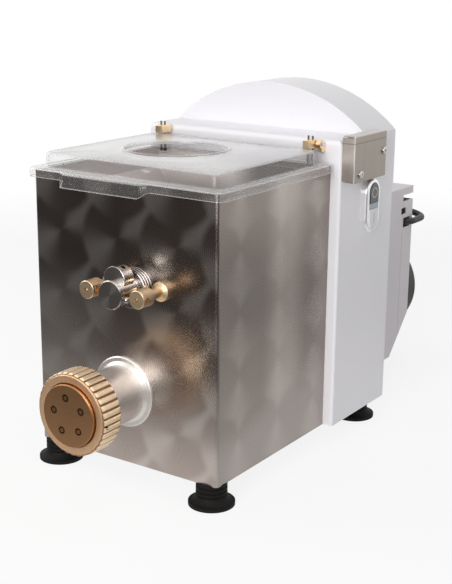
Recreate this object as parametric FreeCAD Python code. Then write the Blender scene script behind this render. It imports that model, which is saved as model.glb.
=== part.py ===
"""Electric table-top pasta maker, in millimetres.

Seen from the front: +X to the right, +Y to the back, +Z up. All sizes below are taken from the
front face of the tub (y = 0), its middle (x = 0) and its lower edge (z = 0). Each solid is moved
at the end so that the row's origin is the middle of the footprint on the table.
"""
import FreeCAD, Part
import math
import os

V = FreeCAD.Vector

# Tub and mixing trough
TUB_WIDTH = 223.0
TUB_DEPTH = 200.7
TUB_HEIGHT = 283.3
TUB_SHEET = 1.5
TUB_CORNER = 4.0
TROUGH_WALL = 2.0
TROUGH_RADIUS = 81.0
SHOULDER_DROP = 21.3
TROUGH_REAR_GAP = 1.5

# White casing behind the tub
CASING_WIDTH = 245.8
CASING_DEPTH = 121.4
CASING_WALL = 2.0
CASING_EDGE = 3.0
LEDGE_RISE = 25.7
LEDGE_EDGE = 6.0
ARCH_SETBACK = 54.3
ARCH_RISE = 48.0
ARCH_SINK = 1.0
PANEL_GAP = 0.3
WINDOW_HALF = 104.0
WINDOW_DROP = 8.3

# Base plate and feet
PLATE_THICK = 3.0
PLATE_MARGIN = 0.2
FOOT_HEIGHT = 23.4
FOOT_RADIUS = 23.0
FOOT_NECK = 15.5
FOOT_X = 97.0
FOOT_FRONT_Y = 12.0
FOOT_REAR_INSET = 23.0
FOOT_BOLT_R = 4.0
FOOT_BOLT_HEAD = 6.5
FOOT_BOLT_HEAD_H = 5.0

# Shaft places
AUGER_Z = 74.5
KNEADER_X = 18.5

# Gear train: module, teeth and face width
SLOW_MODULE = 2.0
FAST_MODULE = 1.5
AUGER_TEETH = 58
KNEADER_TEETH = 54
LAY_PINION_TEETH = 14
LAY_GEAR_TEETH = 82
MOTOR_PINION_TEETH = 14
LAY_ANGLE = 120.0
SLOW_FACE = 14.0
FAST_FACE = 12.0
BACKLASH = 0.16
PRESSURE_ANGLE = 20.0
RUN_FIT = 0.05

# Gearbox
BOX_FRONT_GAP = 1.0
BOX_WALL = 8.0
BOX_SIDE_WALL = 5.0
BOX_CLEAR = 2.0
BOX_SPACE = 3.0
WEB_THICK = 5.0
COVER_THICK = 8.0
BOX_BOLT_R = 2.5
BEARING_RING = 7.0

# Extruder barrel, nut and die
FLANGE_R = 36.0
FLANGE_THICK = 3.0
BARREL_R = 28.3
CHANNEL_R = 24.3
BARREL_SPIGOT = 27.0
HEAD_R = 34.4
HEAD_BACK = 54.0
HEAD_FRONT = 67.0
THREAD_PITCH = 4.0
THREAD_DEPTH = 0.8
THREAD_FIT = 0.07
NUT_R = 41.0
NUT_BACK = 53.0
NUT_FRONT = 80.0
NUT_FLUTES = 36
FLUTE_R = 1.5
NUT_CHAMFER = 2.7
NUT_LIP = 3.5
NUT_LIP_R = 31.0
NUT_HOLE_R = 2.0
DIE_SEAT_GAP = 0.3
DIE_FACE_R = 30.6
DIE_FACE_Y = 83.0
DIE_RIM_GAP = 0.3
INSERT_R = 4.2
INSERT_RING = 17.6
INSERT_COUNT = 5
INSERT_ANGLE = 98.4
SLOT_R = 3.4
CORE_R = 2.3

# Auger
AUGER_R = 23.6
AUGER_CORE = 10.0
AUGER_PITCH = 32.0
FLIGHT_THICK = 4.0
FLIGHT_TURNS = 6
AUGER_SHAFT_R = 10.0

# Kneader
HUB_R = 12.0
KNEADER_REACH = 76.0
ARM_R = 5.0
ARM_COUNT = 5
PADDLE = (24.0, 6.0, 14.0)
PADDLE_TWIST = 30.0
KNEADER_SHAFT_R = 8.0
HUB_FRONT = 12.0
HUB_BACK = 186.0

# Front pivot of the kneader and the two accessory posts
PIVOT_HEAD_R = 14.0
PIVOT_FRONT = 42.0
COLLAR_R = 19.0
COLLAR_THICK = 14.0
PIVOT_NECK_R = 9.5
PIVOT_SHANK_R = 7.0
PIVOT_SHANK_END = 34.0
LUG_R = 12.7
LUG_SHIFT = (-1.0, 13.0)
LUG_FRONT = 34.0
LUG_BACK = 20.0
LUG_HOLE_R = 2.2
LUG_HOLE_LEAN = 25.0
SCREW_STUB_R = 2.8
POST_SPACING = 30.0
POST_FRONT = 40.0
POST_HEAD_R = 8.8
POST_HEAD_LONG = 16.0
POST_NECK_R = 5.2
POST_FOOT_R = 9.5
POST_FOOT_LONG = 5.0
POST_STUD_R = 4.0
POST_HOLE_R = 2.75

# Lid
LID_GAP = 0.5
LID_WALL = 2.5
LID_HALF = 117.5
LID_FRONT = -5.0
LID_BACK = 197.7
SKIRT_DROP = 6.3
LID_CORNER = 9.0
RAISED_HALF = 107.0
RAISED_FRONT = 7.0
RAISED_BACK = 185.0
RAISED_RISE = 17.7
RAISED_CORNER = 10.0
RAISED_EDGE = 4.0
RIM_WIDE = 3.0
RIM_TALL = 2.0
RIM_EDGE = 1.2
OPENING_X = -10.0
OPENING_Y = 100.0
OPENING_R = 52.0
LIP_LEFT = -70.0
LIP_RIGHT = 30.0
LIP_DROP = 6.5
LIP_OUT = 4.0

# Lid hinge
HINGE_Y = 193.2
HINGE_RISE = 21.9
HINGE_PIN_R = 2.2
BLOCK_IN = 89.5
BLOCK_OUT = 98.7
BLOCK_FRONT = 179.5
BLOCK_BACK = 197.4
BLOCK_RISE = 26.3
BRACKET_IN = 99.5
BRACKET_OUT = 104.5
BRACKET_NOSE_R = 4.2
LEG_BACK = 190.6
SWITCH_BODY = (10.0, 26.0, 20.0)
HINGE_SCREW_R = 1.0
HINGE_SCREW_TOP = 4.0
HINGE_NUT_R = 2.2
HINGE_NUT_H = 2.2
HINGE_SCREW_SPREAD = 2.5

# Switch cover on the right side of the casing
COVER_OUT = 14.0
COVER_SHEET = 1.2
COVER_FRONT_INSET = 2.3
COVER_LONG = 70.0
COVER_DROP = 17.3
COVER_TALL = 48.0
COVER_RELIEF = 1.6
COVER_SCREW_SPOTS = ((217.5, 8.0), (268.0, 27.0))
SCREW_HEAD_R = 4.0
SCREW_HEAD_H = 2.2
SCREW_SHANK_R = 2.0

# Double push button
BEZEL_Y = 262.0
BEZEL_Z = 234.0
BEZEL_HALF = 15.0
BEZEL_TALL = 58.0
BEZEL_OUT = 8.0
POCKET_HALF = 10.0
POCKET_TALL = 50.0
POCKET_DEEP = 6.5
BUTTON_GAP = 0.3
BUTTON_TRAVEL = 3.0
LENS_TALL = 6.0
NECK_R = 11.0
NECK_LONG = 14.0
STEM_R = 2.5
STEM_OFFSET = 6.5
CONTACT_BLOCK = (28.0, 32.0, 44.0)

# Motor
MOTOR_R = 50.0
FIN_R = 55.0
FIN_COUNT = 28
FIN_THICK = 2.0
MOTOR_BORE = 44.0
MOTOR_LONG = 184.0
SHIELD_THICK = 8.0
SHIELD_R = 60.5
ROTOR_R = 30.0
ROTOR_GAP = 0.5
CORE_LONG = 120.0
CORE_START = 38.0
MOTOR_SHAFT_R = 8.0
PINION_SHAFT_R = 6.0
MOTOR_BOLT_RING = 47.0
MOTOR_BOLT_R = 2.5
FAN_R = 50.0
FAN_BLADES = 7
FAN_WIDE = 20.0
COWL_R = 62.0
COWL_WALL = 1.5
COWL_END = 527.0
COWL_OVERLAP = 14.0
COWL_SLOTS = 24

# Sheet housing over the motor
HOUSING_HALF = 67.0
HOUSING_SHEET = 1.5
HOUSING_TOP = 215.0
HOUSING_LIP = 9.0
HOUSING_BACK = 494.0
HOUSING_SEAM = 467.0
SEAM_GAP = 0.6
TAB_TOP = 198.0
SLANT_FRONT = 447.0
SLANT_TOP = 50.0
NOTCH_FRONT = 463.0
NOTCH_BACK = 476.0
NOTCH_LOW = 182.0
NOTCH_HIGH = 190.0

# Terminal box, capacitor and cable
TERMINAL_HALF = 36.0
TERMINAL_Y = (345.0, 420.0)
TERMINAL_TOP = 183.0
CAP_R = 13.0
CAP_LONG = 62.0
CABLE_R = 4.0
CABLE_Z = 171.0
CABLE_OUT_X = 71.3
CABLE_LOOP_R = 18.0
CABLE_TURN_Y = 505.0
CABLE_START_X = 22.0
CABLE_BEND_R = 20.0
CABLE_RISE = 7.0
GLAND_R = 9.0
GLAND_LONG = 7.0
GROMMET_LIP = 0.8

# Heights that follow the tub's upper edge
TROUGH_SHOULDER = TUB_HEIGHT - SHOULDER_DROP
LEDGE_HEIGHT = TUB_HEIGHT + LEDGE_RISE
ARCH_HEIGHT = LEDGE_HEIGHT + ARCH_RISE
ARCH_SHOULDER = LEDGE_HEIGHT - ARCH_SINK
WINDOW_TOP = TUB_HEIGHT - WINDOW_DROP
LID_SKIRT = TUB_HEIGHT - SKIRT_DROP
RAISED_TOP = TUB_HEIGHT + RAISED_RISE
HINGE_Z = TUB_HEIGHT + HINGE_RISE
BLOCK_TOP = TUB_HEIGHT + BLOCK_RISE
COVER_BOTTOM = TUB_HEIGHT - COVER_DROP
COVER_TOP = COVER_BOTTOM + COVER_TALL
COVER_SCREWS = tuple((y, COVER_BOTTOM + up) for y, up in COVER_SCREW_SPOTS)

# Worked-out places
TUB_HALF = TUB_WIDTH / 2
CASING_HALF = CASING_WIDTH / 2
CASING_FRONT = TUB_DEPTH
CASING_BACK = TUB_DEPTH + CASING_DEPTH
ARCH_FRONT = CASING_FRONT + ARCH_SETBACK
AXIS_GAP = SLOW_MODULE * (AUGER_TEETH + KNEADER_TEETH) / 2
KNEADER_Z = AUGER_Z + math.sqrt(AXIS_GAP ** 2 - KNEADER_X ** 2)
LAY_GAP = SLOW_MODULE * (AUGER_TEETH + LAY_PINION_TEETH) / 2
LAY_X = LAY_GAP * math.cos(math.radians(LAY_ANGLE))
LAY_Z = AUGER_Z + LAY_GAP * math.sin(math.radians(LAY_ANGLE))
AUGER = (0.0, AUGER_Z)
KNEADER = (KNEADER_X, KNEADER_Z)
LAYSHAFT = (LAY_X, LAY_Z)
TROUGH_FRONT = TUB_SHEET
TROUGH_BACK = TUB_DEPTH - TROUGH_REAR_GAP
BOX_FRONT = CASING_FRONT + CASING_WALL + BOX_FRONT_GAP
SLOW_FRONT = BOX_FRONT + BOX_WALL + BOX_SPACE
SLOW_BACK = SLOW_FRONT + SLOW_FACE
WEB_FRONT = SLOW_BACK + BOX_SPACE
WEB_BACK = WEB_FRONT + WEB_THICK
FAST_FRONT = WEB_BACK + BOX_SPACE
FAST_BACK = FAST_FRONT + FAST_FACE
BOX_BACK = FAST_BACK + BOX_SPACE
COVER_BACK = BOX_BACK + COVER_THICK
MOTOR_FRONT = COVER_BACK + SHIELD_THICK
MOTOR_BACK = MOTOR_FRONT + MOTOR_LONG
SHIELD_BACK = MOTOR_BACK + SHIELD_THICK
COVER_FACE = CASING_HALF + COVER_OUT
LID_REST = TUB_HEIGHT + LID_GAP
CABLE_BACK = CABLE_TURN_Y + CABLE_LOOP_R + CABLE_R
ORIGIN_X = (COVER_FACE + SCREW_HEAD_H - CASING_HALF) / 2
ORIGIN_Y = (CABLE_BACK - DIE_FACE_Y) / 2
ORIGIN = V(-ORIGIN_X, -ORIGIN_Y, FOOT_HEIGHT)


# Plain shapes
def box(x0, x1, y0, y1, z0, z1):
    return Part.makeBox(x1 - x0, y1 - y0, z1 - z0, V(x0, y0, z0))


def rod_y(x, z, r, y0, y1):
    return Part.makeCylinder(r, y1 - y0, V(x, y0, z), V(0, 1, 0))


def rod_x(y, z, r, x0, x1):
    return Part.makeCylinder(r, x1 - x0, V(x0, y, z), V(1, 0, 0))


def rod_z(x, y, r, z0, z1):
    return Part.makeCylinder(r, z1 - z0, V(x, y, z0), V(0, 0, 1))


def ring_y(x, z, r_out, r_in, y0, y1):
    return rod_y(x, z, r_out, y0, y1).cut(rod_y(x, z, r_in, y0 - 1, y1 + 1))


def fuse(shapes):
    return shapes[0].multiFuse(shapes[1:]).removeSplitter() if len(shapes) > 1 else shapes[0]


def group(shapes):
    return Part.makeCompound(shapes)


def polygon(points, sweep):
    wire = Part.makePolygon(points + [points[0]])
    return Part.Face(wire).extrude(sweep)


def turned(profile, centre, axis, radial):
    """Turn a closed outline of (distance along axis, radius) points about the axis."""
    points = [centre + axis * along + radial * r for along, r in profile]
    face = Part.Face(Part.makePolygon(points + [points[0]]))
    return face.revolve(centre, axis, 360)


def turned_y(x, z, profile):
    """Turn (y, radius) points about a line along Y."""
    return turned(profile, V(x, 0, z), V(0, 1, 0), V(1, 0, 0))


def rounded_block(x0, x1, y0, y1, z0, z1, r):
    """A block with its four upright edges rounded."""
    block = box(x0, x1, y0, y1, z0, z1)
    upright = [e for e in block.Edges if abs(e.tangentAt(e.FirstParameter).z) > 0.9]
    return block.makeFillet(r, upright)


def around(shape, centre, axis, angle):
    copy = shape.copy()
    copy.rotate(centre, axis, angle)
    return copy


def save(name, shape):
    moved = shape.copy()
    moved.translate(ORIGIN)
    moved.exportStep("parts/" + name + ".step")
    solids = len(moved.Solids)
    print(name, "solids", solids, "volume", round(moved.Volume), "valid", moved.isValid())


# Tub, trough and base plate
def tub_shell():
    back = TUB_DEPTH + TUB_CORNER * 2
    outer = rounded_block(-TUB_HALF, TUB_HALF, 0, back, 0, TUB_HEIGHT, TUB_CORNER)
    inside = TUB_HALF - TUB_SHEET
    corner = TUB_CORNER - TUB_SHEET
    inner = rounded_block(-inside, inside, TUB_SHEET, back + 20, -1, TUB_HEIGHT + 1, corner)
    shell = outer.cut(inner).common(box(-TUB_HALF, TUB_HALF, 0, TUB_DEPTH, 0, TUB_HEIGHT))
    return shell.cut(front_wall_holes())


def front_wall_holes():
    """What passes through the tub's front sheet and the trough's front wall."""
    depth = TUB_SHEET + TROUGH_WALL + 1
    holes = [rod_y(*AUGER, BARREL_SPIGOT, -1, depth), rod_y(*KNEADER, PIVOT_NECK_R + 1.5, -1, depth)]
    for side in (-1, 1):
        holes.append(rod_y(KNEADER_X + side * POST_SPACING, KNEADER_Z, POST_STUD_R, -1, depth))
    return group(holes)


def trough_form(grow, y0, y1, top):
    """The trough's section: a hopper over the kneader's round, necked down to the auger's."""
    half = TUB_HALF - TUB_SHEET - TROUGH_WALL + grow
    reach = TROUGH_RADIUS + grow
    low = TROUGH_SHOULDER - grow / 2
    hopper = [(-half, top), (half, top), (half, low), (KNEADER_X + reach, KNEADER_Z)]
    hopper += [(KNEADER_X - reach, KNEADER_Z), (-half, low)]
    sweep = V(0, y1 - y0, 0)
    parts = [polygon([V(x, y0, z) for x, z in hopper], sweep), rod_y(*KNEADER, reach, y0, y1)]
    channel = CHANNEL_R + grow
    neck_top = KNEADER_Z - TROUGH_RADIUS / 2
    parts.append(box(-channel, channel, y0, y1, AUGER_Z, neck_top))
    parts.append(rod_y(*AUGER, channel, y0, y1))
    return fuse(parts)


def mixing_trough():
    outer = trough_form(TROUGH_WALL, TROUGH_FRONT, TROUGH_BACK, TUB_HEIGHT)
    inner = trough_form(0, TROUGH_FRONT + TROUGH_WALL, TROUGH_BACK - TROUGH_WALL, TUB_HEIGHT + 1)
    inside = TUB_HALF - TUB_SHEET
    corner = TUB_CORNER - TUB_SHEET
    room = rounded_block(-inside, inside, TUB_SHEET, TUB_DEPTH * 2, 0, TUB_HEIGHT, corner)
    trough = outer.common(room).cut(inner).cut(front_wall_holes())
    shaft_holes = [rod_y(*AUGER, AUGER_SHAFT_R + 4, TROUGH_BACK - 5, TROUGH_BACK + 1)]
    shaft_holes.append(rod_y(*KNEADER, KNEADER_SHAFT_R + 4, TROUGH_BACK - 5, TROUGH_BACK + 1))
    return trough.cut(group(shaft_holes))


def shaft_seals():
    """Two rubber lip seals in the trough's rear wall."""
    seals = []
    for centre, shaft in ((AUGER, AUGER_SHAFT_R), (KNEADER, KNEADER_SHAFT_R)):
        seals.append(ring_y(*centre, shaft + 4, shaft + 0.3, TROUGH_BACK - TROUGH_WALL, BOX_FRONT))
    return group(seals)


def base_plate():
    """One plate: full width in the tub and in the casing, narrower through the casing's front."""
    half = TUB_HALF - TUB_SHEET - PLATE_MARGIN
    front = TUB_SHEET + PLATE_MARGIN
    wide = CASING_HALF - CASING_WALL - PLATE_MARGIN
    neck = WINDOW_HALF - PLATE_MARGIN
    inner_front = CASING_FRONT + CASING_WALL + PLATE_MARGIN
    back = CASING_BACK - CASING_WALL - PLATE_MARGIN
    tub_part = rounded_block(-half, half, front, CASING_FRONT - PLATE_MARGIN, 0, PLATE_THICK,
                             TUB_CORNER - TUB_SHEET)
    neck_part = box(-neck, neck, CASING_FRONT - PLATE_THICK * 2, inner_front + 1, 0, PLATE_THICK)
    plate = fuse([tub_part, neck_part, box(-wide, wide, inner_front, back, 0, PLATE_THICK)])
    return plate.cut(group([rod_z(x, y, FOOT_BOLT_R, -1, PLATE_THICK + 1) for x, y in foot_places()]))


def foot_places():
    rear = CASING_BACK - FOOT_REAR_INSET
    return [(side * FOOT_X, y) for y in (FOOT_FRONT_Y, rear) for side in (-1, 1)]


def feet():
    flare = FOOT_HEIGHT * 0.42
    profile = [V(0, 0, 0), V(FOOT_NECK, 0, 0)]
    ribs = 3
    step = (FOOT_HEIGHT - flare) / (ribs * 2)
    for i in range(ribs):
        z = -step * (2 * i + 1)
        profile += [V(FOOT_NECK, 0, z), V(FOOT_NECK - 1.2, 0, z - step * 0.3)]
        profile += [V(FOOT_NECK - 1.2, 0, z - step * 0.7), V(FOOT_NECK, 0, z - step)]
    edges = [Part.makeLine(a, b) for a, b in zip(profile, profile[1:])]
    rim = V(FOOT_RADIUS, 0, -FOOT_HEIGHT + 3.5)
    waist = V((FOOT_NECK + FOOT_RADIUS) / 2 - 1.5, 0, -FOOT_HEIGHT + flare * 0.58)
    edges.append(Part.Arc(profile[-1], waist, rim).toShape())
    heel = V(FOOT_RADIUS, 0, -FOOT_HEIGHT)
    sole = V(0, 0, -FOOT_HEIGHT)
    edges += [Part.makeLine(rim, heel), Part.makeLine(heel, sole), Part.makeLine(sole, profile[0])]
    foot = Part.Face(Part.Wire(edges)).revolve(V(0, 0, 0), V(0, 0, 1), 360)
    foot = foot.cut(rod_z(0, 0, FOOT_BOLT_R, foot_bolt_end(), 1))
    return group([foot.translated(V(x, y, 0)) for x, y in foot_places()])


def foot_bolt_end():
    return -FOOT_HEIGHT * 0.6


def foot_bolts():
    head = hexagon(FOOT_BOLT_HEAD, FOOT_BOLT_HEAD_H).translated(V(0, 0, PLATE_THICK))
    bolt = head.fuse(rod_z(0, 0, FOOT_BOLT_R, foot_bolt_end(), PLATE_THICK + 1)).removeSplitter()
    return group([bolt.translated(V(x, y, 0)) for x, y in foot_places()])


def hexagon(r, height):
    corners = [V(r * math.cos(math.pi * i / 3), r * math.sin(math.pi * i / 3), 0) for i in range(6)]
    return polygon(corners, V(0, 0, height))


# Casing
def arch_form(inset, y0, y1):
    """The arched block: flat sides, round top."""
    half = CASING_HALF - inset
    shoulder = V(half, y0, ARCH_SHOULDER - inset)
    other = V(-half, y0, ARCH_SHOULDER - inset)
    low_right = V(half, y0, ARCH_SHOULDER - 60)
    low_left = V(-half, y0, ARCH_SHOULDER - 60)
    top = Part.Arc(shoulder, V(0, y0, ARCH_HEIGHT - inset), other).toShape()
    edges = [Part.makeLine(low_left, low_right), Part.makeLine(low_right, shoulder), top]
    edges.append(Part.makeLine(other, low_left))
    return Part.Face(Part.Wire(edges)).extrude(V(0, y1 - y0, 0))


def casing_body():
    lower = rounded_block(-CASING_HALF, CASING_HALF, CASING_FRONT, CASING_BACK, 0, LEDGE_HEIGHT, CASING_EDGE)
    front_top = [e for e in lower.Edges if is_ledge_edge(e)]
    lower = lower.makeFillet(LEDGE_EDGE, front_top)
    outer = lower.fuse(arch_form(0, ARCH_FRONT, CASING_BACK))
    inside = CASING_HALF - CASING_WALL
    y0 = CASING_FRONT + CASING_WALL
    room = box(-inside, inside, y0, CASING_BACK + 1, -1, LEDGE_HEIGHT - CASING_WALL)
    room = room.fuse(arch_form(CASING_WALL, ARCH_FRONT + CASING_WALL, CASING_BACK + 1))
    body = outer.cut(room)
    window = box(-WINDOW_HALF, WINDOW_HALF, CASING_FRONT - 1, y0 + 1, -1, WINDOW_TOP)
    body = body.cut(window)
    body = body.cut(rod_x(BEZEL_Y, BEZEL_Z, NECK_R, inside - 1, CASING_HALF + 1))
    for y, z in COVER_SCREWS:
        body = body.cut(rod_x(y, z, SCREW_SHANK_R, inside - 1, CASING_HALF + 1))
    return body


def is_ledge_edge(edge):
    level = abs(edge.CenterOfMass.z - LEDGE_HEIGHT) < 0.01
    return level and abs(edge.CenterOfMass.y - CASING_FRONT) < 0.01


def rear_panel():
    gap = CASING_WALL + PANEL_GAP
    y0 = CASING_BACK - CASING_WALL
    panel = arch_form(gap, y0, CASING_BACK)
    half = CASING_HALF - gap
    panel = panel.fuse(box(-half, half, y0, CASING_BACK, 0, ARCH_SHOULDER - 50)).removeSplitter()
    return panel.cut(rod_y(*AUGER, FIN_R + 1.5, y0 - 1, CASING_BACK + 1))


# Gearbox
def hull_of_two(a, ra, b, rb, y0, y1):
    """A prism round two circles."""
    d = math.hypot(b[0] - a[0], b[1] - a[1])
    along = math.atan2(b[1] - a[1], b[0] - a[0])
    lean = math.acos((ra - rb) / d)
    corners = []
    for centre, r, sign in ((a, ra, 1), (a, ra, -1), (b, rb, -1), (b, rb, 1)):
        t = along + sign * lean
        corners.append(V(centre[0] + r * math.cos(t), y0, centre[1] + r * math.sin(t)))
    quad = polygon(corners, V(0, y1 - y0, 0))
    return [quad, rod_y(*a, ra, y0, y1), rod_y(*b, rb, y0, y1)]


def gearbox_form(grow, y0, y1):
    rounds = [(AUGER, SLOW_MODULE * (AUGER_TEETH / 2 + 1) + grow)]
    rounds.append((KNEADER, SLOW_MODULE * (KNEADER_TEETH / 2 + 1) + grow))
    rounds.append((LAYSHAFT, FAST_MODULE * (LAY_GEAR_TEETH / 2 + 1) + grow))
    parts = []
    for i in range(3):
        (a, ra), (b, rb) = rounds[i], rounds[(i + 1) % 3]
        parts += hull_of_two(a, ra, b, rb, y0, y1)
    return fuse(parts)


def bolt_places():
    """Bosses round the gearbox, just outside its wall."""
    r_auger = SLOW_MODULE * (AUGER_TEETH / 2 + 1) + BOX_CLEAR + BOX_SIDE_WALL + 1
    r_kneader = SLOW_MODULE * (KNEADER_TEETH / 2 + 1) + BOX_CLEAR + BOX_SIDE_WALL + 1
    spots = [(AUGER, r_auger, a) for a in (-45, 15, 225)]
    spots += [(KNEADER, r_kneader, a) for a in (0, 60, 120)]
    spread = []
    for (cx, cz), r, a in spots:
        t = math.radians(a)
        spread.append((cx + r * math.cos(t), cz + r * math.sin(t)))
    return spread


def gearbox_housing():
    wall = BOX_CLEAR + BOX_SIDE_WALL
    parts = [gearbox_form(wall, BOX_FRONT, BOX_BACK)]
    parts += [rod_y(x, z, BOX_BOLT_R + 3.5, BOX_FRONT, BOX_BACK) for x, z in bolt_places()]
    body = fuse(parts)
    body = body.cut(gearbox_form(BOX_CLEAR, BOX_FRONT + BOX_WALL, BOX_BACK + 1))
    bores = [rod_y(*c, r + BEARING_RING, BOX_FRONT - 1, BOX_FRONT + BOX_WALL + 1) for c, r in output_shafts()]
    bores.append(rod_y(*LAYSHAFT, lay_shaft_r() + BEARING_RING, BOX_FRONT + 2, BOX_FRONT + BOX_WALL + 1))
    bores += [rod_y(x, z, BOX_BOLT_R, BOX_BACK - 15, BOX_BACK + 1) for x, z in bolt_places()]
    return body.cut(group(bores))


def output_shafts():
    return ((AUGER, AUGER_SHAFT_R), (KNEADER, KNEADER_SHAFT_R))


def lay_shaft_r():
    return 7.0


def bearing_web():
    """The plate between the slow and the fast gears, which holds the auger's rear bearing."""
    web = gearbox_form(BOX_CLEAR, WEB_FRONT, WEB_BACK)
    holes = [rod_y(*AUGER, AUGER_SHAFT_R + BEARING_RING, WEB_FRONT - 1, WEB_BACK + 1)]
    holes.append(rod_y(*KNEADER, KNEADER_SHAFT_R + 2, WEB_FRONT - 1, WEB_BACK + 1))
    holes.append(rod_y(*LAYSHAFT, SLOW_MODULE * (LAY_PINION_TEETH / 2 + 1) + 2, WEB_FRONT - 1, WEB_BACK + 1))
    return web.cut(group(holes))


def gearbox_cover():
    wall = BOX_CLEAR + BOX_SIDE_WALL
    parts = [gearbox_form(wall, BOX_BACK, COVER_BACK)]
    parts += [rod_y(x, z, BOX_BOLT_R + 3.5, BOX_BACK, COVER_BACK) for x, z in bolt_places()]
    cover = fuse(parts)
    bores = [rod_y(*AUGER, MOTOR_SHAFT_R + 3, BOX_BACK - 1, COVER_BACK + 1)]
    bores.append(rod_y(*KNEADER, KNEADER_SHAFT_R + BEARING_RING, BOX_BACK - 1, COVER_BACK - 2))
    bores.append(rod_y(*LAYSHAFT, lay_shaft_r() + BEARING_RING, BOX_BACK - 1, COVER_BACK - 2))
    bores += [rod_y(x, z, BOX_BOLT_R, BOX_BACK - 1, COVER_BACK + 1) for x, z in bolt_places()]
    bores += [rod_y(x, z, MOTOR_BOLT_R, BOX_BACK - 1, COVER_BACK + 1) for x, z in motor_bolt_places()]
    return cover.cut(group(bores))


def gearbox_bolts():
    bolts = []
    for x, z in bolt_places():
        shank = rod_y(x, z, BOX_BOLT_R, BOX_BACK - 14, COVER_BACK + 1)
        bolts.append(shank.fuse(rod_y(x, z, BOX_BOLT_R + 2, COVER_BACK, COVER_BACK + 4)).removeSplitter())
    return group(bolts)


def shaft_bearings():
    places = [(c, r, BOX_FRONT + 0.5, BOX_FRONT + BOX_WALL) for c, r in output_shafts()]
    places.append((AUGER, AUGER_SHAFT_R, WEB_FRONT, WEB_BACK))
    places.append((KNEADER, KNEADER_SHAFT_R, BOX_BACK, COVER_BACK - 2))
    places.append((LAYSHAFT, lay_shaft_r(), BOX_FRONT + 2, BOX_FRONT + BOX_WALL))
    places.append((LAYSHAFT, lay_shaft_r(), BOX_BACK, COVER_BACK - 2))
    places.append((AUGER, MOTOR_SHAFT_R, COVER_BACK + 0.5, MOTOR_FRONT))
    places.append((AUGER, MOTOR_SHAFT_R, MOTOR_BACK, SHIELD_BACK - 0.5))
    return group([ring_y(*c, r + BEARING_RING, r + RUN_FIT, y0, y1) for c, r, y0, y1 in places])


# Gears
def involute_point(base, r, turn, side):
    """A point of a tooth flank at radius r, turned to its place on the gear."""
    roll = math.sqrt(max((r / base) ** 2 - 1, 0.0))
    angle = turn + side * (roll - math.atan(roll))
    return V(r * math.cos(angle), 0, r * math.sin(angle))


def gear(centre, teeth, module, phase, bore, y0, y1):
    """A spur gear with involute flanks; phase is the angle of one tooth's middle, in degrees."""
    pitch_r = module * teeth / 2
    base = pitch_r * math.cos(math.radians(PRESSURE_ANGLE))
    tip = pitch_r + module * 0.95
    root = pitch_r - module * 1.2
    start = max(base, root)
    flank_lead = math.tan(math.radians(PRESSURE_ANGLE)) - math.radians(PRESSURE_ANGLE)
    half_tooth = (math.pi * module / 2 - BACKLASH) / (2 * pitch_r)
    cut_in = start - root > 0.01
    radii = (start, (start + tip) / 2, tip)
    edges = []
    step = 2 * math.pi / teeth

    def foot(angle, side):
        if cut_in:
            return V(root * math.cos(angle), 0, root * math.sin(angle))
        return involute_point(base, start, angle, side)

    for i in range(teeth):
        middle = math.radians(phase) + i * step
        low = middle - half_tooth - flank_lead
        high = middle + half_tooth + flank_lead
        rising = [involute_point(base, r, low, 1) for r in radii]
        falling = [involute_point(base, r, high, -1) for r in radii]
        top = V(tip * math.cos(middle), 0, tip * math.sin(middle))
        if cut_in:
            edges.append(Part.makeLine(foot(low, 1), rising[0]))
        edges.append(Part.Arc(*rising).toShape())
        edges.append(Part.Arc(rising[2], top, falling[2]).toShape())
        edges.append(Part.Arc(falling[2], falling[1], falling[0]).toShape())
        if cut_in:
            edges.append(Part.makeLine(falling[0], foot(high, -1)))
        gap = middle + step / 2
        valley = V(root * math.cos(gap), 0, root * math.sin(gap))
        edges.append(Part.Arc(foot(high, -1), valley, foot(low + step, 1)).toShape())
    face = Part.Face(Part.Wire(edges))
    blank = face.extrude(V(0, y1 - y0, 0)).translated(V(centre[0], y0, centre[1]))
    return blank.cut(rod_y(*centre, bore, y0 - 1, y1 + 1))


def mating_phase(centre_a, teeth_a, phase_a, centre_b, teeth_b):
    """The phase of gear b that puts one of its gaps on a tooth of gear a."""
    line = math.degrees(math.atan2(centre_b[1] - centre_a[1], centre_b[0] - centre_a[0]))
    return line + 180 + (180 - teeth_a * (phase_a - line)) / teeth_b


AUGER_PHASE = 0.0
KNEADER_PHASE = mating_phase(AUGER, AUGER_TEETH, AUGER_PHASE, KNEADER, KNEADER_TEETH)
LAY_PINION_PHASE = mating_phase(AUGER, AUGER_TEETH, AUGER_PHASE, LAYSHAFT, LAY_PINION_TEETH)
LAY_GEAR_PHASE = 0.0
MOTOR_PINION_PHASE = mating_phase(LAYSHAFT, LAY_GEAR_TEETH, LAY_GEAR_PHASE, AUGER, MOTOR_PINION_TEETH)


def lighten(blank, centre, teeth, module, hub, y0, y1):
    """Six round holes through the web of a big gear."""
    rim = module * (teeth / 2 - 2.5)
    ring = (rim + hub) / 2
    r = (rim - hub) / 2 * 0.72
    holes = []
    for i in range(6):
        t = math.radians(60 * i)
        holes.append(rod_y(centre[0] + ring * math.cos(t), centre[1] + ring * math.sin(t), r, y0 - 1, y1 + 1))
    return blank.cut(group(holes))


def auger_gear():
    blank = gear(AUGER, AUGER_TEETH, SLOW_MODULE, AUGER_PHASE, AUGER_SHAFT_R, SLOW_FRONT, SLOW_BACK)
    return lighten(blank, AUGER, AUGER_TEETH, SLOW_MODULE, AUGER_SHAFT_R + 8, SLOW_FRONT, SLOW_BACK)


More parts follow.
